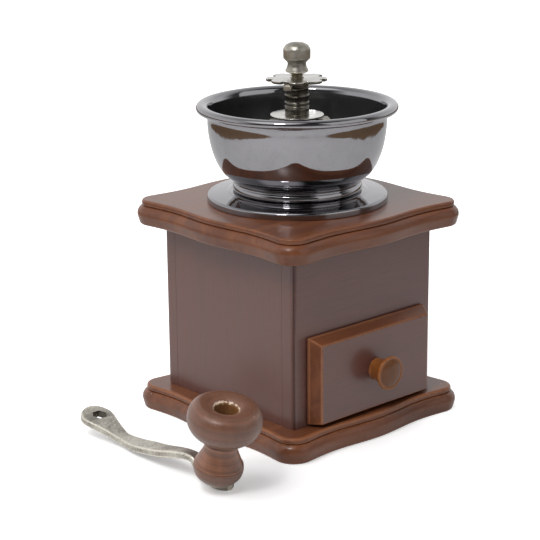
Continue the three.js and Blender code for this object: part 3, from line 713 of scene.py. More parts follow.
def mixed(tree, part, a, b):
    """The colour between two colours, with this part of the second."""
    return add(tree, "ShaderNodeMix", {0: part, 6: a, 7: b}, data_type="RGBA").outputs[2]


def spread(tree, value, low, high, to_low=0.0, to_high=1.0):
    """A value taken smoothly from one range to another."""
    ends = {"From Min": low, "From Max": high, "To Min": to_low, "To Max": to_high}
    return add(
        tree, "ShaderNodeMapRange", {"Value": value, **ends}, interpolation_type="SMOOTHSTEP").outputs[0]


def noise(tree, vector, scale, detail=2.0, roughness=0.5, distortion=0.0):
    """The value of one Noise texture."""
    return add(tree, "ShaderNodeTexNoise", {
        "Vector": vector, "Scale": scale, "Detail": detail, "Roughness": roughness,
        "Distortion": distortion}).outputs[0]


def own_place(tree):
    """Where a point is on its piece."""
    return add(tree, "ShaderNodeTexCoord").outputs["Object"]


def marked(tree, name):
    """The value of one of the piece's attributes."""
    return add(tree, "ShaderNodeAttribute", attribute_name=name).outputs["Fac"]


def camera_ray(tree):
    """1 where the camera looks straight at a point and 0 elsewhere."""
    return add(tree, "ShaderNodeLightPath").outputs["Is Camera Ray"]


def made_once(name):
    """Lets the maker of a node group run only the first time, and gives it the group's name."""
    def wrap(make):
        return lambda: bpy.data.node_groups.get(name) or make(name)
    return wrap


def effect(name, inputs, outputs):
    """An empty shader group that takes a place and named values, and its input node."""
    group = bpy.data.node_groups.new(name, "ShaderNodeTree")
    group.interface.new_socket("Vector", in_out="INPUT", socket_type="NodeSocketVector")
    for title, default in inputs.items():
        socket = group.interface.new_socket(title, in_out="INPUT", socket_type="NodeSocketFloat")
        socket.default_value = default
    for title in outputs:
        group.interface.new_socket(title, in_out="OUTPUT", socket_type="NodeSocketFloat")
    return group, group.nodes.new("NodeGroupInput").outputs


@made_once("Wood figure")
def wood_figure(name):
    """Bands, fibres and pores of a plank whose grain runs along X."""
    group, given = effect(name, {"Band Width": 0.009}, ["Bands", "Fibres", "Pores"])
    slow, fine, short = [
        vector_calc(group, "MULTIPLY", given["Vector"], (along, 1, 1)) for along in (0.055, 0.02, 0.07)]
    bands = noise(group, slow, calc(group, "DIVIDE", 1.0, given["Band Width"]), 4.0, 0.55, 0.8)
    add(group, "NodeGroupOutput", {
        "Bands": spread(group, bands, 0.32, 0.68),
        "Fibres": spread(group, noise(group, fine, 1700.0, 3.0, 0.6), 0.3, 0.7),
        "Pores": spread(group, noise(group, short, 2300.0, 1.0), 0.62, 0.72)})
    return group


@made_once("Edge wear")
def edge_wear_and_highlight(name):
    """Where an edge is rubbed on wood, and where a highlight is painted on metal, from the attribute worn
    broken up by a noise.
    """
    group, given = effect(name, {"Amount": 0.5, "Grain": 500.0}, ["Mask"])
    rough = noise(group, given["Vector"], given["Grain"], 3.0, 0.65)
    level = calc(group, "ADD", marked(group, "worn"), calc(group, "MULTIPLY_ADD", rough, 0.7, -0.35))
    level = calc(group, "ADD", level, given["Amount"])
    add(group, "NodeGroupOutput", {"Mask": spread(group, level, 0.72, 1.15)})
    return group


@made_once("Specks")
def specks(name):
    """Scattered small chips: most places have none."""
    group, given = effect(name, {"Spacing": 0.006, "Size": 0.0004, "Share": 0.2}, ["Mask"])
    place = given["Vector"]
    ragged = add(group, "ShaderNodeTexNoise", {"Vector": place, "Scale": 1800.0, "Detail": 1.0})
    shift = vector_calc(group, "MULTIPLY", ragged.outputs["Color"], (0.0004, 0.0004, 0.0004))
    scale = calc(group, "DIVIDE", 1.0, given["Spacing"])
    cells = add(
        group, "ShaderNodeTexVoronoi", {"Vector": vector_calc(group, "ADD", place, shift), "Scale": scale})
    near = calc(group, "LESS_THAN", cells.outputs["Distance"], calc(group, "MULTIPLY", given["Size"], scale))
    pick = add(group, "ShaderNodeSeparateColor", {0: cells.outputs["Color"]}).outputs[0]
    chosen = calc(group, "LESS_THAN", pick, given["Share"])
    add(group, "NodeGroupOutput", {"Mask": calc(group, "MULTIPLY", near, chosen)})
    return group


@made_once("Plated surface")
def plated_surface(name):
    """Slow smudges and fine pits of a plated or ground metal."""
    group, given = effect(name, {"Smudge Size": 0.012, "Pit Size": 0.0006}, ["Smudges", "Pits", "Grain"])
    place = given["Vector"]
    slow = noise(group, place, calc(group, "DIVIDE", 1.0, given["Smudge Size"]), 3.0, 0.6, 0.5)
    fine = noise(group, place, calc(group, "DIVIDE", 1.0, given["Pit Size"]))
    add(group, "NodeGroupOutput", {
        "Smudges": spread(group, slow, 0.35, 0.7), "Pits": spread(group, fine, 0.6, 0.74),
        "Grain": noise(group, place, 4200.0, 1.0)})
    return group


def grouped(tree, group, inputs):
    """The outputs of one shader group placed in a tree."""
    return add(tree, "ShaderNodeGroup", inputs, node_tree=group).outputs


def blank_material(name):
    """A new material with its Principled shader."""
    material = bpy.data.materials.new(name)
    material.use_nodes = True
    return material, material.node_tree, material.node_tree.nodes["Principled BSDF"]


def rgba(colour, by=1.0):
    """A colour with its alpha, made lighter or darker by a factor."""
    return (*(min(1.0, c * by) for c in colour), 1.0)


def wood_material(name, dark, light, turn=(0, 0, 0), lacquer=True, band_width=None, wear=None, gloss=0.2,
                  under=0.15, coat=1.0, over=None):
    """
    Wood with its figure, rubbed edges and small chips, under lacquer or bare.
    Over is a function that takes the tree, the place and the colour, and gives a last colour.
    """
    if name in bpy.data.materials:
        return bpy.data.materials[name]
    look = wood()
    material, tree, shader = blank_material(name)
    place = own_place(tree)
    along = add(tree, "ShaderNodeMapping", {"Vector": place, "Rotation": turn}).outputs[0]
    figure = grouped(tree, wood_figure(), {"Vector": along, "Band Width": band_width or look.band_width})
    bands, pores = figure["Bands"], figure["Pores"]
    contrast = LACQUERED_CONTRAST if lacquer else BARE_CONTRAST
    shade = spread(tree, figure["Fibres"], 0.0, 1.0, 1 - contrast, 1 + contrast)
    colour = scaled(tree, mixed(tree, bands, rgba(dark), rgba(light)), shade)
    colour = mixed(tree, calc(tree, "MULTIPLY", pores, 6 * contrast), colour, rgba(dark, 0.35))
    height = calc(tree, "SUBTRACT", figure["Fibres"], pores)
    if lacquer:
        amount = look.wear if wear is None else wear
        rubbed = grouped(tree, edge_wear_and_highlight(), {"Vector": place, "Amount": amount, "Grain": 420.0})["Mask"]
        colour = mixed(tree, calc(tree, "MULTIPLY", rubbed, 0.6), colour, rgba(look.walnut_worn))
        chips = grouped(
            tree, specks(), {"Vector": place, "Spacing": 0.009, "Size": 0.00045, "Share": 0.13})["Mask"]
        colour = mixed(tree, calc(tree, "MULTIPLY", chips, 0.8), colour, rgba(look.chip))
        height = calc(tree, "SUBTRACT", height, chips)
        plug(tree, shader, {"Coat Weight": coat, "Coat Roughness": gloss, "Specular IOR Level": under})
        rough = calc(tree, "MULTIPLY_ADD", rubbed, 0.12, calc(tree, "MULTIPLY_ADD", bands, 0.08, 0.5))
    else:
        rough = calc(tree, "MULTIPLY_ADD", bands, 0.12, 0.7)
    if over:
        colour = over(tree, place, colour)
    bump = add(tree, "ShaderNodeBump", {"Strength": 0.35, "Distance": 0.00005, "Height": height})
    plug(tree, shader, {"Base Color": colour, "Roughness": rough, "Normal": bump.outputs[0]})
    return material


def walnut(name="Walnut top", wear=None):
    return wood_material(name, wood().walnut_dark, wood().walnut_light, wear=wear, gloss=0.24, coat=0.75)


# The walnut's darker, bluer copy for upright faces: painted shade and a painted bluish sheen
def shaded_wall_finish(name, turn=(0, 0, 0), wear=-0.5):
    return wood_material(name, wood().shaded_wall_dark, wood().shaded_wall_light, turn, wear=wear, gloss=0.26, under=0.4)


def bare_wood(name, turn=(0, 0, 0)):
    return wood_material(name, wood().raw_dark, wood().raw_light, turn, lacquer=False, band_width=0.005)


def metal_material(name, colour, least, smudge_gain, pit_gain, tarnish, pit_size=0.0006, depth=0.00004,
                   edge_highlight=0.0):
    """Metal with smudges in its polish, fine pits and edges brightened with a painted highlight."""
    if name in bpy.data.materials:
        return bpy.data.materials[name]
    material, tree, shader = blank_material(name)
    place = own_place(tree)
    surface = grouped(tree, plated_surface(), {"Vector": place, "Pit Size": pit_size})
    smudges, pits = surface["Smudges"], surface["Pits"]
    base = mixed(tree, smudges, rgba(colour), rgba(colour, tarnish))
    base = mixed(tree, calc(tree, "MULTIPLY", pits, 0.5), base, rgba(colour, 0.45))
    # Painted highlight: the colour is brighter on convex edges and ridges
    if edge_highlight:
        rubbed = grouped(tree, edge_wear_and_highlight(), {"Vector": place, "Amount": 0.35, "Grain": 900.0})["Mask"]
        base = mixed(tree, rubbed, base, rgba(colour, 1 + edge_highlight))
    rough = calc(tree, "MULTIPLY_ADD", smudges, smudge_gain, least)
    rough = calc(tree, "MULTIPLY_ADD", pits, pit_gain, rough)
    height = calc(tree, "SUBTRACT", calc(tree, "MULTIPLY", surface["Grain"], 0.3), pits)
    bump = add(tree, "ShaderNodeBump", {"Strength": 0.3, "Distance": depth, "Height": height})
    plug(tree, shader, {
        "Base Color": base, "Metallic": 1.0, "Roughness": rough, "Normal": bump.outputs[0]})
    return material


def black_nickel():
    return metal_material(
        "Black nickel", metal().black_nickel, metal().mirror_roughness, 0.035, 0.05, 0.93, depth=0.000002)


def nickel():
    return metal_material(
        "Satin nickel", metal().nickel, metal().satin_roughness, 0.1, 0.12, 0.55, edge_highlight=0.7)


# The nickel made smoother, and lighter as painted light
def lit_bright_nickel():
    return metal_material("Lit bright nickel", metal().lit_bright_nickel, 0.2, 0.1, 0.1, 0.9, edge_highlight=0.2)


# The nickel darkened as painted shade, with strongly brightened edges as painted highlights
def shaded_nickel():
    return metal_material("Shaded nickel", metal().shaded_nickel, 0.26, 0.1, 0.1, 0.8, edge_highlight=0.9)


def shaded_bowl_inside():
    """A darker, a little dull copy of the plating: painted shade inside the bowl."""
    material = metal_material("Bowl lining", metal().lining, 0.13, 0.05, 0.1, 0.7, depth=0.000004)
    material.node_tree.nodes["Principled BSDF"].inputs["Metallic"].default_value = 0.8
    return material


def brass():
    return metal_material("Brassy thread", metal().brass, 0.3, 0.1, 0.1, 0.7, edge_highlight=0.3)


def steel():
    return metal_material("Steel", metal().steel, 0.28, 0.15, 0.1, 0.85, edge_highlight=0.2)


def cast_iron():
    return metal_material("Cast iron", metal().iron, 0.5, 0.15, 0.1, 0.7, pit_size=0.0004, depth=0.0001)


# Geometry Nodes


def geometry_tree(name, inputs):
    """An empty Geometry Nodes tree that takes geometry and named values, and its input node."""
    tree = bpy.data.node_groups.new(name, "GeometryNodeTree")
    for title, kind in {"Geometry": "Geometry", **inputs, "Material": "Material"}.items():
        tree.interface.new_socket(title, in_out="INPUT", socket_type="NodeSocket" + kind)
    tree.interface.new_socket("Geometry", in_out="OUTPUT", socket_type="NodeSocketGeometry")
    return tree, tree.nodes.new("NodeGroupInput").outputs


def close_tree(tree, geometry, given):
    """Ends a tree in real geometry that carries the piece's material."""
    real = add(tree, "GeometryNodeRealizeInstances", {"Geometry": geometry}).outputs[0]
    painted = add(tree, "GeometryNodeSetMaterial", {"Geometry": real, "Material": given["Material"]})
    add(tree, "NodeGroupOutput", {"Geometry": painted.outputs[0]})
    return tree


def copies(tree, given, points, turn):
    """The given pattern set at points and turned."""
    pattern = add(tree, "GeometryNodeObjectInfo", {"Object": given["Pattern"]}).outputs["Geometry"]
    set_out = {"Points": points, "Instance": pattern, "Rotation": turn}
    return close_tree(tree, add(tree, "GeometryNodeInstanceOnPoints", set_out).outputs[0], given)


@made_once("Repeat round the shaft")
def repeat_round_axis(name):
    """Copies of one piece at even turns round the Z axis."""
    tree, given = geometry_tree(name, {"Pattern": "Object", "Count": "Int", "First Turn": "Float"})
    points = add(tree, "GeometryNodePoints", {"Count": given["Count"]}).outputs[0]
    index = add(tree, "GeometryNodeInputIndex").outputs[0]
    step = calc(tree, "DIVIDE", 2 * math.pi, given["Count"])
    turn = calc(tree, "MULTIPLY_ADD", index, step, given["First Turn"])
    return copies(tree, given, points, add(tree, "ShaderNodeCombineXYZ", {"Z": turn}).outputs[0])


@made_once("Screws at points")
def set_at_points(name):
    """One piece set at each point of a mesh, turned by the point's attribute turn."""
    tree, given = geometry_tree(name, {"Pattern": "Object"})
    turn = add(tree, "GeometryNodeInputNamedAttribute", {"Name": "turn"}, data_type="FLOAT_VECTOR")
    return copies(tree, given, given["Geometry"], turn.outputs[0])


@made_once("Wire coil")
def wire_coil(name):
    """Round wire wound into a coil round the Z axis."""
    tree, given = geometry_tree(
        name, {"Coil Radius": "Float", "Wire Radius": "Float", "Turns": "Float", "Foot": "Float",
               "Height": "Float"})
    spiral = add(tree, "GeometryNodeCurveSpiral", {
        "Resolution": 40, "Rotations": given["Turns"], "Start Radius": given["Coil Radius"],
        "End Radius": given["Coil Radius"], "Height": given["Height"]})
    circle = add(
        tree, "GeometryNodeCurvePrimitiveCircle", {"Resolution": 14, "Radius": given["Wire Radius"]})
    wire = add(tree, "GeometryNodeCurveToMesh", {
        "Curve": spiral.outputs[0], "Profile Curve": circle.outputs[0], "Fill Caps": True})
    lift = add(tree, "ShaderNodeCombineXYZ", {"Z": given["Foot"]}).outputs[0]
    raised = add(tree, "GeometryNodeTransform", {"Geometry": wire.outputs[0], "Translation": lift})
    return close_tree(tree, raised.outputs[0], given)


def stub():
    """A carrier for a tree that makes all of its geometry itself."""
    return worker(rod(1, 0, 1, 3))


def grown(carrier, tree, values):
    """The shape that a tree makes on a carrier object, which is then taken away."""
    modifier = carrier.modifiers.new("grow", "NODES")
    modifier.node_group = tree
    for item in tree.interface.items_tree:
        if item.item_type == "SOCKET" and item.in_out == "INPUT" and item.name in values:
            modifier[item.identifier] = values[item.name]
    mesh = settled(carrier)
    discard(carrier)
    return taken_up(mesh)


def round_shaft(shape, material):
    """Copies of a shape at even turns round the shaft, one for each leg of the bridge."""
    pattern = worker(shape)
    made = grown(stub(), repeat_round_axis(), {
        "Pattern": pattern, "Count": LEG_COUNT, "First Turn": math.pi, "Material": material})
    discard(pattern)
    return made


# Pieces

# Turns that lay a wood's grain along another axis than X
ALONG_Y = (0, 0, math.pi / 2)
ALONG_Z = (0, math.pi / 2, 0)


def board_loop(half, outside, z, steps, corner_steps=10):
    """One loop round a moulded board: sides with a slow wave, rounded corners."""
    run = half - BOARD_CORNER_R

    def wave(s):
        return WAVE * math.cos(2 * math.pi * s / WAVE_PITCH)

    reach = BOARD_CORNER_R + outside + wave(run)
    side = [(half + outside + wave(s), s) for s in np.linspace(-run, run, steps + 1)]
    for a in np.linspace(0, math.pi / 2, corner_steps + 1)[1:-1]:
        side.append((run + reach * math.cos(a), run + reach * math.sin(a)))
    loop = []
    for quarter in range(4):
        c, s = math.cos(quarter * math.pi / 2), math.sin(quarter * math.pi / 2)
        loop += [(x * c - y * s, x * s + y * c, z) for x, y in side]
    return loop


def moulded_board(half, z0, z1):
    """A board with a lip, a quirk and a full ogee round its edge."""
    profile = run_together(spline(LIP, 4), QUIRK, spline(OGEE, 6), [[z1 - z0, 0.5]])
    steps = sizes().board_steps
    return loft([board_loop(half, outside, z1 - down, steps) for down, outside in reversed(profile)])


def screw_recess(x, y, z, up):
    """The recess that a countersunk head sits in."""
    flip = Matrix.Rotation(math.pi if up else 0, 4, "X")
    shape = lathe(SCREW_RECESS, ROUND_SMALL)
    bmesh.ops.transform(shape, matrix=Matrix.Translation(Vector((x, y, z)) * MM) @ flip, verts=shape.verts[:])
    return tidy(shape)


class MILL_OT_boards(bpy.types.Operator):
    """Base board and top board with their moulded edges"""
    bl_idname = "mill.boards"
    bl_label = "Moulded boards"

    def execute(self, context):
        base = carved(
            moulded_board(BASE_HALF, 0, BASE_T),
            *[screw_recess(x, y, HEAD_SINK, False) for x, y in UNDER_SCREWS])
        top = carved(
            moulded_board(TOP_HALF, BOX_TOP, DECK), rod(BOARD_HOLE_R, BOX_TOP - 1, DECK + 1, ROUND),
            *[screw_recess(x, y, DECK - HEAD_SINK, True) for x, y in DECK_SCREWS])
        for node, shape, finish in (
                ("base_board", base, walnut("Walnut base", 0.6)), ("top_board", top, walnut())):
            finish_piece(shape, "case", "walnut", finish, node, angle=38, weighted=True)
        return {"FINISHED"}


class MILL_OT_walls(bpy.types.Operator):
    """Front panel with the drawer's opening, back wall and the two side walls"""
    bl_idname = "mill.walls"
    bl_label = "Box walls"

    def execute(self, context):
        edge = sizes().wall_edge
        left, right = DRAWER_X - OPENING_HALF, DRAWER_X + OPENING_HALF
        plain = [(-BOX_HALF, BASE_T), (BOX_HALF, BASE_T), (BOX_HALF, BOX_TOP), (-BOX_HALF, BOX_TOP)]
        arch = [(-BOX_HALF, BASE_T), (left, BASE_T), (left, OPENING_TOP), (right, OPENING_TOP),
                (right, BASE_T), *plain[1:]]
        for node, outline, outer in (("front_panel", arch, -BOX_HALF), ("back_wall", plain, BOX_HALF)):
            inner = outer + math.copysign(WALL, -outer)
            shape = loft([[(x, y, z) for x, z in outline] for y in (inner, outer)])

            def on_corner(e, outer=outer):
                return all(abs(abs(v.co.x) - BOX_HALF * MM) < 1e-5 and abs(v.co.y - outer * MM) < 1e-5
                           for v in e.verts)

            shape = eased(shape, BOX_EDGE_R * MM, 8, pick=on_corner)
            shape = tidy(eased(shape, edge, 3, 60))
            finish_piece(shape, "case", "walnut", shaded_wall_finish("Walls"), node, weighted=True)
        for node in ("left_wall", "right_wall"):
            finish = shaded_wall_finish("Side walls", ALONG_Z)
            finish_piece(board(node, edge), "case", "walnut", finish, node, weighted=True)
        return {"FINISHED"}


def knob_face(r, z):
    """1 on the face of the drawer knob, where painted shade darkens it, falling to 0 at its rim."""
    return min(1.0, max(0.0, (KNOB_SHADE_R - r) / KNOB_SHADE_FADE)) if z > KNOB_SHADE_Z else 0.0


def shaded_face(tree, place, colour):
    """The knob's colour, darkened on its face by painted shade for the dark room that its dish reflects."""
    return scaled(tree, colour, calc(tree, "MULTIPLY_ADD", marked(tree, "face"), -wood().face_shade, 1.0))


class MILL_OT_drawer(bpy.types.Operator):
    """Drawer front, its tray and its turned knob"""
    bl_idname = "mill.drawer"
    bl_label = "Drawer"

    def execute(self, context):
        loops = []
        for y, inset in ((0, 0), (-FRONT_STRAIGHT, 0), (-FRONT_T, FRONT_BEVEL)):
            x = FRONT_HALF - inset
            z0, z1 = FRONT_Z[0] + min(inset, FRONT_FOOT_BEVEL), FRONT_Z[1] - inset
            corners = ((-x, z0), (x, z0), (x, z1), (-x, z1))
            loops.append([(DRAWER_X + cx, DRAWER_Y + y, cz) for cx, cz in corners])
        # The front's face takes the walls' shaded copy of the walnut and its bevels the lighter walnut:
        # painted light and shade by how each face turns
        front = finish_piece(
            tidy(eased(loft(loops), sizes().front_edge, 4, 12)), "drawer", "walnut",
            shaded_wall_finish("Drawer front", wear=0.2), "drawer_front", weighted=True)
        second_finish(
            front, walnut("Drawer bevel", wear=0.3), lambda centre, normal: -0.95 < normal.y < -0.12)
        bare, bare_side = bare_wood("Bare wood"), bare_wood("Bare wood along Y", ALONG_Y)
        for node in ("drawer_left_side", "drawer_right_side", "drawer_back", "drawer_bottom"):
            finish = bare_side if node.endswith("side") else bare
            finish_piece(board(node, sizes().wall_edge), "drawer", "raw_wood", finish, node, weighted=True)

        # The knob's face is darkened with painted shade
        amber = wood_material(
            "Amber wood", wood().amber_dark, wood().amber_light, ALONG_Z, band_width=0.004, wear=-0.1,
            gloss=0.12, coat=0.55, over=shaded_face)
        place = Matrix.Translation(Vector((DRAWER_X, DRAWER_Y - FRONT_T, KNOB_Z)) * MM)
        place = place @ Matrix.Rotation(math.pi / 2, 4, "X")
        profile = run_together(KNOB_PROFILE[:4], spline(KNOB_PROFILE[3:], 6), spline(KNOB_FACE, 6))
        finish_piece(
            lathe(profile, ROUND_MEDIUM), "drawer", "amber_wood", amber, "drawer_knob", place=place,
            marks={"face": knob_face})
        dress("drawer_knob_screw", steel())
        return {"FINISHED"}


class MILL_OT_hopper(bpy.types.Operator):
    """Pressed flange and bowl with its rolled rim"""
    bl_idname = "mill.hopper"
    bl_label = "Hopper"

    def execute(self, context):
        flange = rounded(FLANGE, 0.7, 5, closed=True)
        finish_piece(
            lathe(flange, ROUND_LARGE, ring=True), "case", "black_nickel", black_nickel(), "hopper_flange",
            angle=60)
        outside = np.array(BOWL_OUTSIDE)
        ahead = np.roll(outside, -1, axis=0) - np.roll(outside, 1, axis=0)
        ahead /= np.linalg.norm(ahead, axis=1)[:, None]
        inside = (outside + SHEET * np.stack([-ahead[:, 1], ahead[:, 0]], axis=1))[BOWL_WALL][::-1]
        lower = [inside[-1].tolist(), [BOWL_WELL_R, BOWL_WELL_TOP], [BOWL_WELL_R, BOWL_FLOOR],
                 [THROAT_R, BOWL_FLOOR]]
        profile = run_together(
            [[THROAT_R, FLANGE_SEAT]], spline(BOWL_OUTSIDE, 6), spline([BOWL_OUTSIDE[-1], *inside], 6),
            rounded(lower, 1.5, 5))
        bowl = finish_piece(
            lathe(profile, ROUND_LARGE, ring=True), "case", "black_nickel", black_nickel(), "hopper_bowl",
            angle=50)
        wall_z, wall_r = outside[:BOWL_WALL.stop, 1], outside[:BOWL_WALL.stop, 0]

        def inside_the_bowl(centre, normal):
            r, z = math.hypot(centre.x, centre.y) / MM, centre.z / MM
            return z < BOWL_OUTSIDE[-1][1] and r < np.interp(z, wall_z, wall_r) - SHEET / 2

        # The inside of the bowl takes the darker plating: painted shade
        second_finish(bowl, shaded_bowl_inside(), inside_the_bowl)
        return {"FINISHED"}


class MILL_OT_bridge(bpy.types.Operator):
    """Bridge on its three legs, its screws and the sleeve that carries the shaft"""
    bl_idname = "mill.bridge"
    bl_label = "Bridge and sleeve"

    def execute(self, context):
        head = BOWL_FLOOR + BRIDGE_T
        top = BRIDGE_TOP - 1.2
        outline = [
            (9, top), (15.2, top), (17.0, top - 1.6), (24.4, head), (30.4, head), (30.4, BOWL_FLOOR),
            (23.2, BOWL_FLOOR), (15.2, top - 2.2), (14.4, top - BRIDGE_T), (9, top - BRIDGE_T),
        ]
        leg = loft([[(x, y, z) for x, z in outline] for y in (-LEG_WIDTH / 2, LEG_WIDTH / 2)])
        # The legs inside the bowl take the darker nickel: painted shade
        legs = round_shaft(tidy(eased(leg, sizes().metal_edge, 2, 25)), shaded_nickel())
        finish_piece(
            legs, "case", "nickel", shaded_nickel(), "bridge", name="bridge_legs_dressed", weighted=True)
        disc = [[BORE_R, BRIDGE_TOP - BRIDGE_T], [BRIDGE_R, BRIDGE_TOP - BRIDGE_T], [BRIDGE_R, BRIDGE_TOP],
                [BORE_R, BRIDGE_TOP]]
        disc = lathe(rounded(disc, 0.3, 3, closed=True), ROUND_MEDIUM, ring=True)
        # The disc takes the lighter nickel: painted light
        finish_piece(disc, "case", "nickel", lit_bright_nickel(), "bridge", name="bridge_disc_dressed")

        screw = rounded([
            [0, SCREW_FOOT], [SCREW_R, SCREW_FOOT], [SCREW_R, head], [SCREW_HEAD_R, head],
            [SCREW_HEAD_R, head + 1.2], [SCREW_HEAD_R - 0.8, head + 1.8], [0, head + 2.1]], 0.35, 3)
        screw = carved(lathe(screw, ROUND_SMALL), block((-4, -0.4, head + 1.1), (4, 0.4, head + 3)))
        bmesh.ops.translate(screw, verts=screw.verts[:], vec=(SCREW_RING_R * MM, 0, 0))
        finish_piece(
            round_shaft(screw, steel()), "case", "steel", steel(), "bridge_screw_1", "bridge_screw_2",
            "bridge_screw_3", name="bridge_screws_dressed")

        sleeve = [[BORE_R, BRIDGE_TOP], [SLEEVE_FOOT_R, BRIDGE_TOP], [SLEEVE_FOOT_R, SLEEVE_FOOT_TOP]]
        for z in SLEEVE_RIDGES:
            sleeve += [
                [SLEEVE_R, z - SLEEVE_RIDGE_HALF], [SLEEVE_RIDGE_R, z], [SLEEVE_R, z + SLEEVE_RIDGE_HALF]]
        sleeve += [[SLEEVE_R, SLEEVE_TOP], [BORE_R, SLEEVE_TOP]]
        sleeve = lathe(rounded(sleeve, 0.45, 4, closed=True), ROUND_MEDIUM, ring=True)
        # The sleeve takes the darker nickel: painted shade
        finish_piece(sleeve, "case", "nickel", shaded_nickel(), "sleeve", angle=50)
        return {"FINISHED"}


def wheel_outline(a):
    """Radius of the wheel at a turn: uneven lobes with a round notch between them."""
    pitch, ring = 2 * math.pi / WHEEL_LOBES, WHEEL_NOTCH_RING_R
    r = WHEEL_MEAN_R + WHEEL_LOBE_RISE * math.cos(WHEEL_LOBES * a)
    r += WHEEL_SWAY_RISE * math.cos(WHEEL_SWAYS * a)
    off = (a % pitch) - pitch / 2
    inner = WHEEL_NOTCHES[int(a / pitch)] ** 2 - (ring * math.sin(off)) ** 2
    return min(r, ring * math.cos(off) - math.sqrt(inner)) if inner > 0 else r


class MILL_OT_wheel(bpy.types.Operator):
    """Notched adjusting wheel and the tab under it"""
    bl_idname = "mill.wheel"
    bl_label = "Adjusting wheel"

    def execute(self, context):
        loops = [round_loop(lambda a, inset=inset: wheel_outline(a) - inset, WHEEL_Z + z, WHEEL_STEPS)
                 for z, inset in WHEEL_SECTION]
        ends = [round_loop(WHEEL_BORE_R, WHEEL_Z + z, WHEEL_STEPS) for z in (0, WHEEL_T)]
        # The wheel's faces take the lighter nickel: painted light
        wheel = finish_piece(
            loft([ends[0], *loops, ends[1]], ring=True), "star_wheel", "nickel", lit_bright_nickel(),
            "star_wheel", angle=50)
        # The wheel's rim takes the darker nickel: painted shade
        second_finish(wheel, shaded_nickel(), lambda centre, normal: abs(normal.z) < 0.3)
        tab = tidy(eased(cad_copy("lock_tab"), sizes().metal_edge, 2, 25))
        finish_piece(tab, "star_wheel", "nickel", nickel(), "lock_tab", weighted=True)
        return {"FINISHED"}


class MILL_OT_shaft(bpy.types.Operator):
    """Drive shaft with its cut thread and the cap nut"""
    bl_idname = "mill.shaft"
    bl_label = "Shaft and cap nut"

    def execute(self, context):
        root = THREAD_R - THREAD_DEPTH
        plain = [(SHAFT_R - 0.4, SHAFT_FOOT), (SHAFT_R, SHAFT_FOOT + 0.4), (SHAFT_R, SLEEVE_TOP - 0.6),
                 (root, SLEEVE_TOP)]
        loops = [round_loop(r, z, ROUND_THREAD) for r, z in plain]
        for k in range(1, int((SHAFT_TOP - 0.8 - SLEEVE_TOP) / (THREAD_PITCH / THREAD_STEPS)) + 1):
            z = SLEEVE_TOP + k * THREAD_PITCH / THREAD_STEPS

            def thread(a, z=z):
                return THREAD_R - THREAD_DEPTH * abs(2 * ((z / THREAD_PITCH - a / (2 * math.pi)) % 1) - 1)

            loops.append(round_loop(thread, z, ROUND_THREAD))
        loops.append(round_loop(root - 0.2, SHAFT_TOP, ROUND_THREAD))
        finish_piece(loft(loops), "shaft", "steel", brass(), "drive_shaft", angle=50)
        finish_piece(
            lathe(rounded(NUT, 0.6, 5), ROUND_MEDIUM), "cap_nut", "nickel", nickel(), "cap_nut", angle=40,
            place=Matrix.Translation((0, 0, NUT_FOOT * MM)))
        return {"FINISHED"}


class MILL_OT_burrs(bpy.types.Operator):
    """The two toothed burrs with their washers and nut"""
    bl_idname = "mill.burrs"
    bl_label = "Burrs"

    def execute(self, context):
        for node in ("outer_burr", "inner_burr"):
            dress(node, cast_iron())
        for node in ("burr_washer", "burr_nut", "spring_washer"):
            dress(node, steel())
        return {"FINISHED"}


class MILL_OT_spring(bpy.types.Operator):
    """Coil spring that presses the inner burr down"""
    bl_idname = "mill.spring"
    bl_label = "Burr spring"

    def execute(self, context):
        foot, top = SPRING_Z
        coil = grown(stub(), wire_coil(), {
            "Coil Radius": SPRING_R * MM, "Wire Radius": SPRING_WIRE_R * MM, "Turns": float(SPRING_TURNS),
            "Foot": foot * MM, "Height": (top - foot) * MM, "Material": steel()})
        spring = finish_piece(coil, None, "steel", steel(), "burr_spring", angle=50)
        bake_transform(spring)
        return {"FINISHED"}


class MILL_OT_wood_screws(bpy.types.Operator):
    """Countersunk wood screws under the base and under the hopper's flange"""
    bl_idname = "mill.wood_screws"
    bl_label = "Wood screws"

    def execute(self, context):
        screw = lathe(rounded(WOOD_SCREW, 0.2, 2), 32)
        pattern = worker(carved(screw, block((-4, -0.45, -1), (4, 0.45, 0.9))))
        points, turns = bmesh.new(), []
        for row, z, over in ((UNDER_SCREWS, HEAD_SINK, 0), (DECK_SCREWS, DECK - HEAD_SINK, math.pi)):
            for i, (x, y) in enumerate(row):
                points.verts.new(Vector((x, y, z)) * MM)
                turns += [over, 0, 0.5 * i]
        carrier = worker(points)
        carrier.data.attributes.new("turn", "FLOAT_VECTOR", "POINT").data.foreach_set("vector", turns)
        screws = grown(carrier, set_at_points(), {"Pattern": pattern, "Material": steel()})
        discard(pattern)
        nodes = [f"{row}_screw_{i}" for row in ("under", "deck") for i in range(1, 5)]
        finish_piece(screws, "case", "steel", steel(), *nodes, name="wood_screws_dressed")
        return {"FINISHED"}


def crank_place():
    """Where the crank's own frame lies, from the CAD knob's foot."""
    turn = Matrix.Rotation(CRANK_YAW, 4, "Z") @ Matrix.Rotation(CRANK_PITCH, 4, "Y")
    axis = turn.to_3x3() @ Vector((0, 0, 1))
    foot = min(axis.dot(v.co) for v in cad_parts["crank_knob"].data.vertices)
    x, y = CRANK_EYE[0] * MM, CRANK_EYE[1] * MM
    z = (foot - HANDLE_Z * MM - axis.x * x - axis.y * y) / axis.z
    return Matrix.Translation((x, y, z)) @ turn


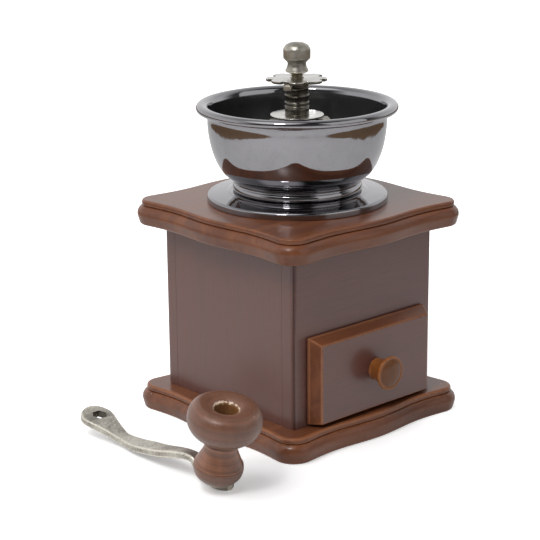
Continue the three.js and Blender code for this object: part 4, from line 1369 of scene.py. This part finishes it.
def crank_arm():
    """The forged bar: a lofted section along the line of its upper face, with the hexagonal eye."""
    line = spline(ARM_TOP, 24)
    slope = np.gradient(line[:, 1]) / np.maximum(np.gradient(line[:, 0]), 1e-6)
    loops = []
    for x, near, far, chamfer in spline(ARM_PLAN, 6):
        z = np.interp(x, line[:, 0], line[:, 1])
        run = np.array([1, np.interp(x, line[:, 0], slope)])
        run /= np.linalg.norm(run)
        edge = min(ARM_EDGE, chamfer)
        keel = ARM_T + ELBOW_DEPTH * math.exp(-((x - ELBOW_X) / ELBOW_REACH) ** 2)
        section = [
            [near, -edge], [near + edge, 0], [far - chamfer, 0], [far, -chamfer], [far, edge - ARM_T],
            [far - edge, -ARM_T], [(near + far) / 2, -keel], [near + edge, -ARM_T], [near, edge - ARM_T],
        ]
        loop = rounded(section, 0.45, 3, closed=True)
        loops.append([(x - run[1] * up, y, z + run[0] * up) for y, up in loop])
    corner_r, turns = EYE_HEX / math.sqrt(3), [k * math.pi / 3 for k in range(6)]
    hole = loft([[(corner_r * math.sin(a), -corner_r * math.cos(a), z) for a in turns] for z in (-8, 4)])
    spindle_hole = rod(SPINDLE_R + 0.3, FOOT_TOP - 8, FOOT_TOP + 4, 32, (SPINDLE_X, 0))
    return carved(loft(loops), hole, spindle_hole)


def worn_handle_with_painted_light_and_shade(tree, place, colour):
    """The handle's colour with turned rings, a neck lightened with painted light, bare wood in its well
    darkened with painted shade, and a chipped rim.
    """
    look, along = wood(), marked(tree, "turned")
    rings = add(
        tree, "ShaderNodeTexNoise", {"W": along, "Scale": 450.0, "Detail": 3.0, "Roughness": 0.6},
        noise_dimensions="1D").outputs["Fac"]
    height = calc(tree, "MULTIPLY_ADD", along, 1 / MM, -HANDLE_Z)
    # Painted light: the neck is lightened as if lit by light bounced from the floor
    painted_neck_light = calc(
        tree, "MULTIPLY", spread(tree, height, 8.0, 13.0), spread(tree, height, 19.0, 22.0, 1.0, 0.0))
    shade = calc(
        tree, "MULTIPLY", spread(tree, rings, 0.35, 0.65, 0.82, 1.16),
        calc(tree, "MULTIPLY_ADD", painted_neck_light, 0.7, 1.0))
    ragged = calc(tree, "MULTIPLY_ADD", noise(tree, place, 700.0, 4.0, 0.75), 3.4, -1.75)
    flaked = spread(tree, calc(tree, "ADD", marked(tree, "rim"), ragged), 0.55, 0.65)
    # Bare wood in the well, darkened with painted shade for its recess
    bare = mixed(tree, noise(tree, place, 600.0), rgba(look.shaded_well_dark), rgba(look.shaded_well_light))
    colour = mixed(tree, marked(tree, "well"), scaled(tree, colour, shade), bare)
    return mixed(tree, flaked, colour, rgba(look.chip))


class MILL_OT_crank(bpy.types.Operator):
    """Crank arm, its turned handle and the spindle through it"""
    bl_idname = "mill.crank"
    bl_label = "Crank"

    def execute(self, context):
        place = crank_place()
        arm = finish_piece(
            crank_arm(), "crank", "nickel", nickel(), "crank_arm", angle=40, weighted=True, place=place)
        eye, axis = place.translation, place.to_3x3() @ Vector((0, 0, 1))

        def in_the_eye(centre, normal):
            return (centre - eye).length < 0.75 * EYE_HEX * MM and abs(normal.dot(axis)) < 0.3

        # The walls of the eye's hole take the darker nickel: painted shade in the recess
        second_finish(arm, shaded_nickel(), in_the_eye)
        finish = wood_material(
            "Walnut handle", wood().handle_dark, wood().handle_light, ALONG_Z, band_width=0.006, wear=0.2,
            gloss=0.34, under=0.3, over=worn_handle_with_painted_light_and_shade)
        profile = run_together(
            HANDLE_FOOT, spline(HANDLE_BELL), HANDLE_GROOVES, spline(HANDLE_NECK), spline(HANDLE_BEAD),
            spline(HANDLE_BULB), spline(HANDLE_RIM, 6), HANDLE_WELL)
        finish_piece(
            lathe(profile, ring=True), "crank_knob", "walnut", finish, "crank_knob", angle=45,
            place=place @ Matrix.Translation(Vector((SPINDLE_X, 0, HANDLE_Z)) * MM), marks=HANDLE_MARKS)
        head = HANDLE_GAP + WELL_FLOOR + 0.3
        spindle = rounded([
            [0, -ARM_T], [SPINDLE_R, -ARM_T], [SPINDLE_R, head], [SPINDLE_HEAD_R, head],
            [SPINDLE_HEAD_R - 0.3, head + 1.5], [0, head + 2.2]], 0.4, 4)
        finish_piece(
            lathe(spindle, ROUND_SMALL), "crank", "steel", steel(), "crank_spindle",
            place=place @ Matrix.Translation(Vector((SPINDLE_X, 0, FOOT_TOP)) * MM))
        return {"FINISHED"}


# Stage


def cleared(holder):
    """The empty node tree of a material or a world."""
    holder.use_nodes = True
    holder.node_tree.nodes.clear()
    return holder.node_tree


def floor_material(look):
    """
    Pale floor that keeps its shadows and reaches white where it is lit. It ends in a darker table,
    which only reflections show. The light added for the camera is weaker near the crank's handle.
    """
    material = bpy.data.materials.new("Pale floor")
    tree = cleared(material)
    place, seen = own_place(tree), camera_ray(tree)
    shade = spread(tree, noise(tree, place, 30.0, 3.0), 0.3, 0.7, 0.985, 1.0)
    pale = scaled(tree, tuple(look.floor_colour), shade)
    ahead = vector_calc(tree, "DOT_PRODUCT", place, SHEET_AHEAD, "Value")
    across = vector_calc(tree, "DOT_PRODUCT", place, SHEET_ACROSS, "Value")
    aside = calc(tree, "SUBTRACT", calc(tree, "ABSOLUTE", across), look.sheet_side)
    outside = calc(tree, "MAXIMUM", aside, calc(tree, "SUBTRACT", ahead, look.sheet_front))
    ragged = calc(tree, "MULTIPLY_ADD", noise(tree, place, 9.0), 0.12, outside)
    beyond = calc(tree, "MULTIPLY", spread(tree, ragged, 0.05, 0.08), calc(tree, "SUBTRACT", 1.0, seen))
    colour = mixed(tree, beyond, pale, rgba(look.table_colour))
    matt = add(tree, "ShaderNodeBsdfDiffuse", {"Color": colour}).outputs[0]
    away = vector_calc(tree, "DISTANCE", place, HANDLE_SPOT, "Value")
    lift = calc(tree, "MULTIPLY", spread(tree, away, 0.07, 0.21, 0.38, 1.0), look.floor_lift)
    glow = add(tree, "ShaderNodeEmission", {"Strength": calc(tree, "MULTIPLY", seen, lift)}).outputs[0]
    both = add(tree, "ShaderNodeAddShader", {0: matt, 1: glow}).outputs[0]
    add(tree, "ShaderNodeOutputMaterial", {0: both})
    return material


def studio_world():
    """A pale band of light round the horizon, a soft panel at the left, and a dim zenith and room."""
    world = bpy.data.worlds.new("Studio")
    bpy.context.scene.world = world
    tree = cleared(world)
    place = add(tree, "ShaderNodeTexCoord").outputs["Generated"]
    height = add(tree, "ShaderNodeSeparateXYZ", {0: place}).outputs["Z"]
    facing = vector_calc(tree, "DOT_PRODUCT", place, ROOM_AHEAD, "Value")
    room = spread(tree, facing, -0.15, 0.35, 1.0, 0.09)
    shade = calc(
        tree, "MULTIPLY_ADD", calc(tree, "SUBTRACT", room, 1.0), spread(tree, height, -0.02, 0.06), 1.0)
    ramp = add(tree, "ShaderNodeValToRGB", {0: height})
    elements = ramp.color_ramp.elements
    while len(elements) < len(SKY):
        elements.new(0.5)
    for element, (at, level) in zip(elements, SKY):
        element.position = at
        element.color = (level, level, level * 1.01, 1)
    beside = vector_calc(tree, "DOT_PRODUCT", place, PANEL_TOWARDS, "Value")
    panel = spread(tree, beside, 0.86, 0.97)
    colour = mixed(tree, panel, scaled(tree, ramp.outputs[0], shade), PANEL_LIGHT)
    colour = mixed(tree, camera_ray(tree), colour, WHITE)
    sky = add(tree, "ShaderNodeBackground", {"Color": colour}).outputs[0]
    add(tree, "ShaderNodeOutputWorld", {0: sky})


def lamp(name, place, size, watts):
    """A square soft lamp aimed at the mill."""
    data = bpy.data.lights.new(name, "AREA")
    data.shape = "SQUARE"
    data.size = size
    data.energy = watts
    obj = bpy.data.objects.new(name, data)
    bpy.context.scene.collection.objects.link(obj)
    obj.location = place
    obj.rotation_euler = (Vector(LAMP_TARGET) - Vector(place)).to_track_quat("-Z", "Y").to_euler()
    return obj


def photo_camera(look):
    """The camera where the photograph was taken from."""
    data = bpy.data.cameras.new("Camera")
    data.sensor_width = 36
    data.lens = look.lens
    camera = bpy.data.objects.new("Camera", data)
    bpy.context.scene.collection.objects.link(camera)
    pan, tilt, roll = CAMERA_PAN, CAMERA_TILT, CAMERA_ROLL
    ahead = Vector((math.sin(pan) * math.cos(tilt), math.cos(pan) * math.cos(tilt), -math.sin(tilt)))
    across = Vector((math.cos(pan), -math.sin(pan), 0))
    up = across.cross(ahead)
    right = across * math.cos(roll) + up * math.sin(roll)
    above = up * math.cos(roll) - across * math.sin(roll)
    turn = Matrix((right, above, -ahead)).transposed().to_4x4()
    camera.matrix_world = Matrix.Translation(CAMERA_AT) @ turn
    bpy.context.scene.camera = camera


class MILL_OT_stage(bpy.types.Operator):
    """Camera, pale floor, soft lamps and world"""
    bl_idname = "mill.stage"
    bl_label = "Stage"

    def execute(self, context):
        look = context.scene.mill_stage
        context.scene.view_settings.view_transform = "Standard"
        photo_camera(look)
        sheet = bmesh.new()
        corners = [(-1, -1, 0), (1, -1, 0), (1, 1, 0), (-1, 1, 0)]
        sheet.faces.new([sheet.verts.new(Vector(corner) * FLOOR_HALF) for corner in corners])
        floor = worker(sheet, "floor")
        floor.data.materials.append(floor_material(look))
        studio_world()
        key = lamp("Key lamp", KEY_AT, KEY_SIZE, look.key_power)
        # In reflections the spark lamp and the world's panel stand in for it
        key.visible_glossy = False
        lamp("Spark lamp", SPARK_AT, SPARK_SIZE, look.spark_power)
        lamp("Fill lamp", FILL_AT, FILL_SIZE, look.fill_power)
        return {"FINISHED"}


class MILL_PT_panel(bpy.types.Panel):
    """Lists the mill's pieces and settings"""
    bl_idname = "MILL_PT_panel"
    bl_label = "Coffee Mill"
    bl_space_type = "VIEW_3D"
    bl_region_type = "UI"
    bl_category = "Coffee Mill"

    def draw(self, context):
        for operator in PIECES:
            self.layout.operator(operator.bl_idname)
        for settings, group in SETTINGS.items():
            box = self.layout.box()
            for name in group.__annotations__:
                box.prop(getattr(context.scene, settings), name)


SETTINGS = {"mill_wood": MillWood, "mill_metal": MillMetal, "mill_shape": MillShape, "mill_stage": MillStage}
PIECES = [
    MILL_OT_stage, MILL_OT_boards, MILL_OT_walls, MILL_OT_drawer, MILL_OT_hopper, MILL_OT_bridge,
    MILL_OT_wheel, MILL_OT_shaft, MILL_OT_burrs, MILL_OT_spring, MILL_OT_wood_screws, MILL_OT_crank,
]


def register():
    for item in [*SETTINGS.values(), *PIECES, MILL_PT_panel]:
        bpy.utils.register_class(item)
    for name, group in SETTINGS.items():
        setattr(bpy.types.Scene, name, PointerProperty(type=group))


def unregister():
    for name in SETTINGS:
        delattr(bpy.types.Scene, name)
    for item in reversed([*SETTINGS.values(), *PIECES, MILL_PT_panel]):
        bpy.utils.unregister_class(item)


def main():
    """Makes the whole mill."""
    register()
    for operator in PIECES:
        family, name = operator.bl_idname.split(".")
        getattr(getattr(bpy.ops, family), name)()


if __name__ == "__main__":
    main()
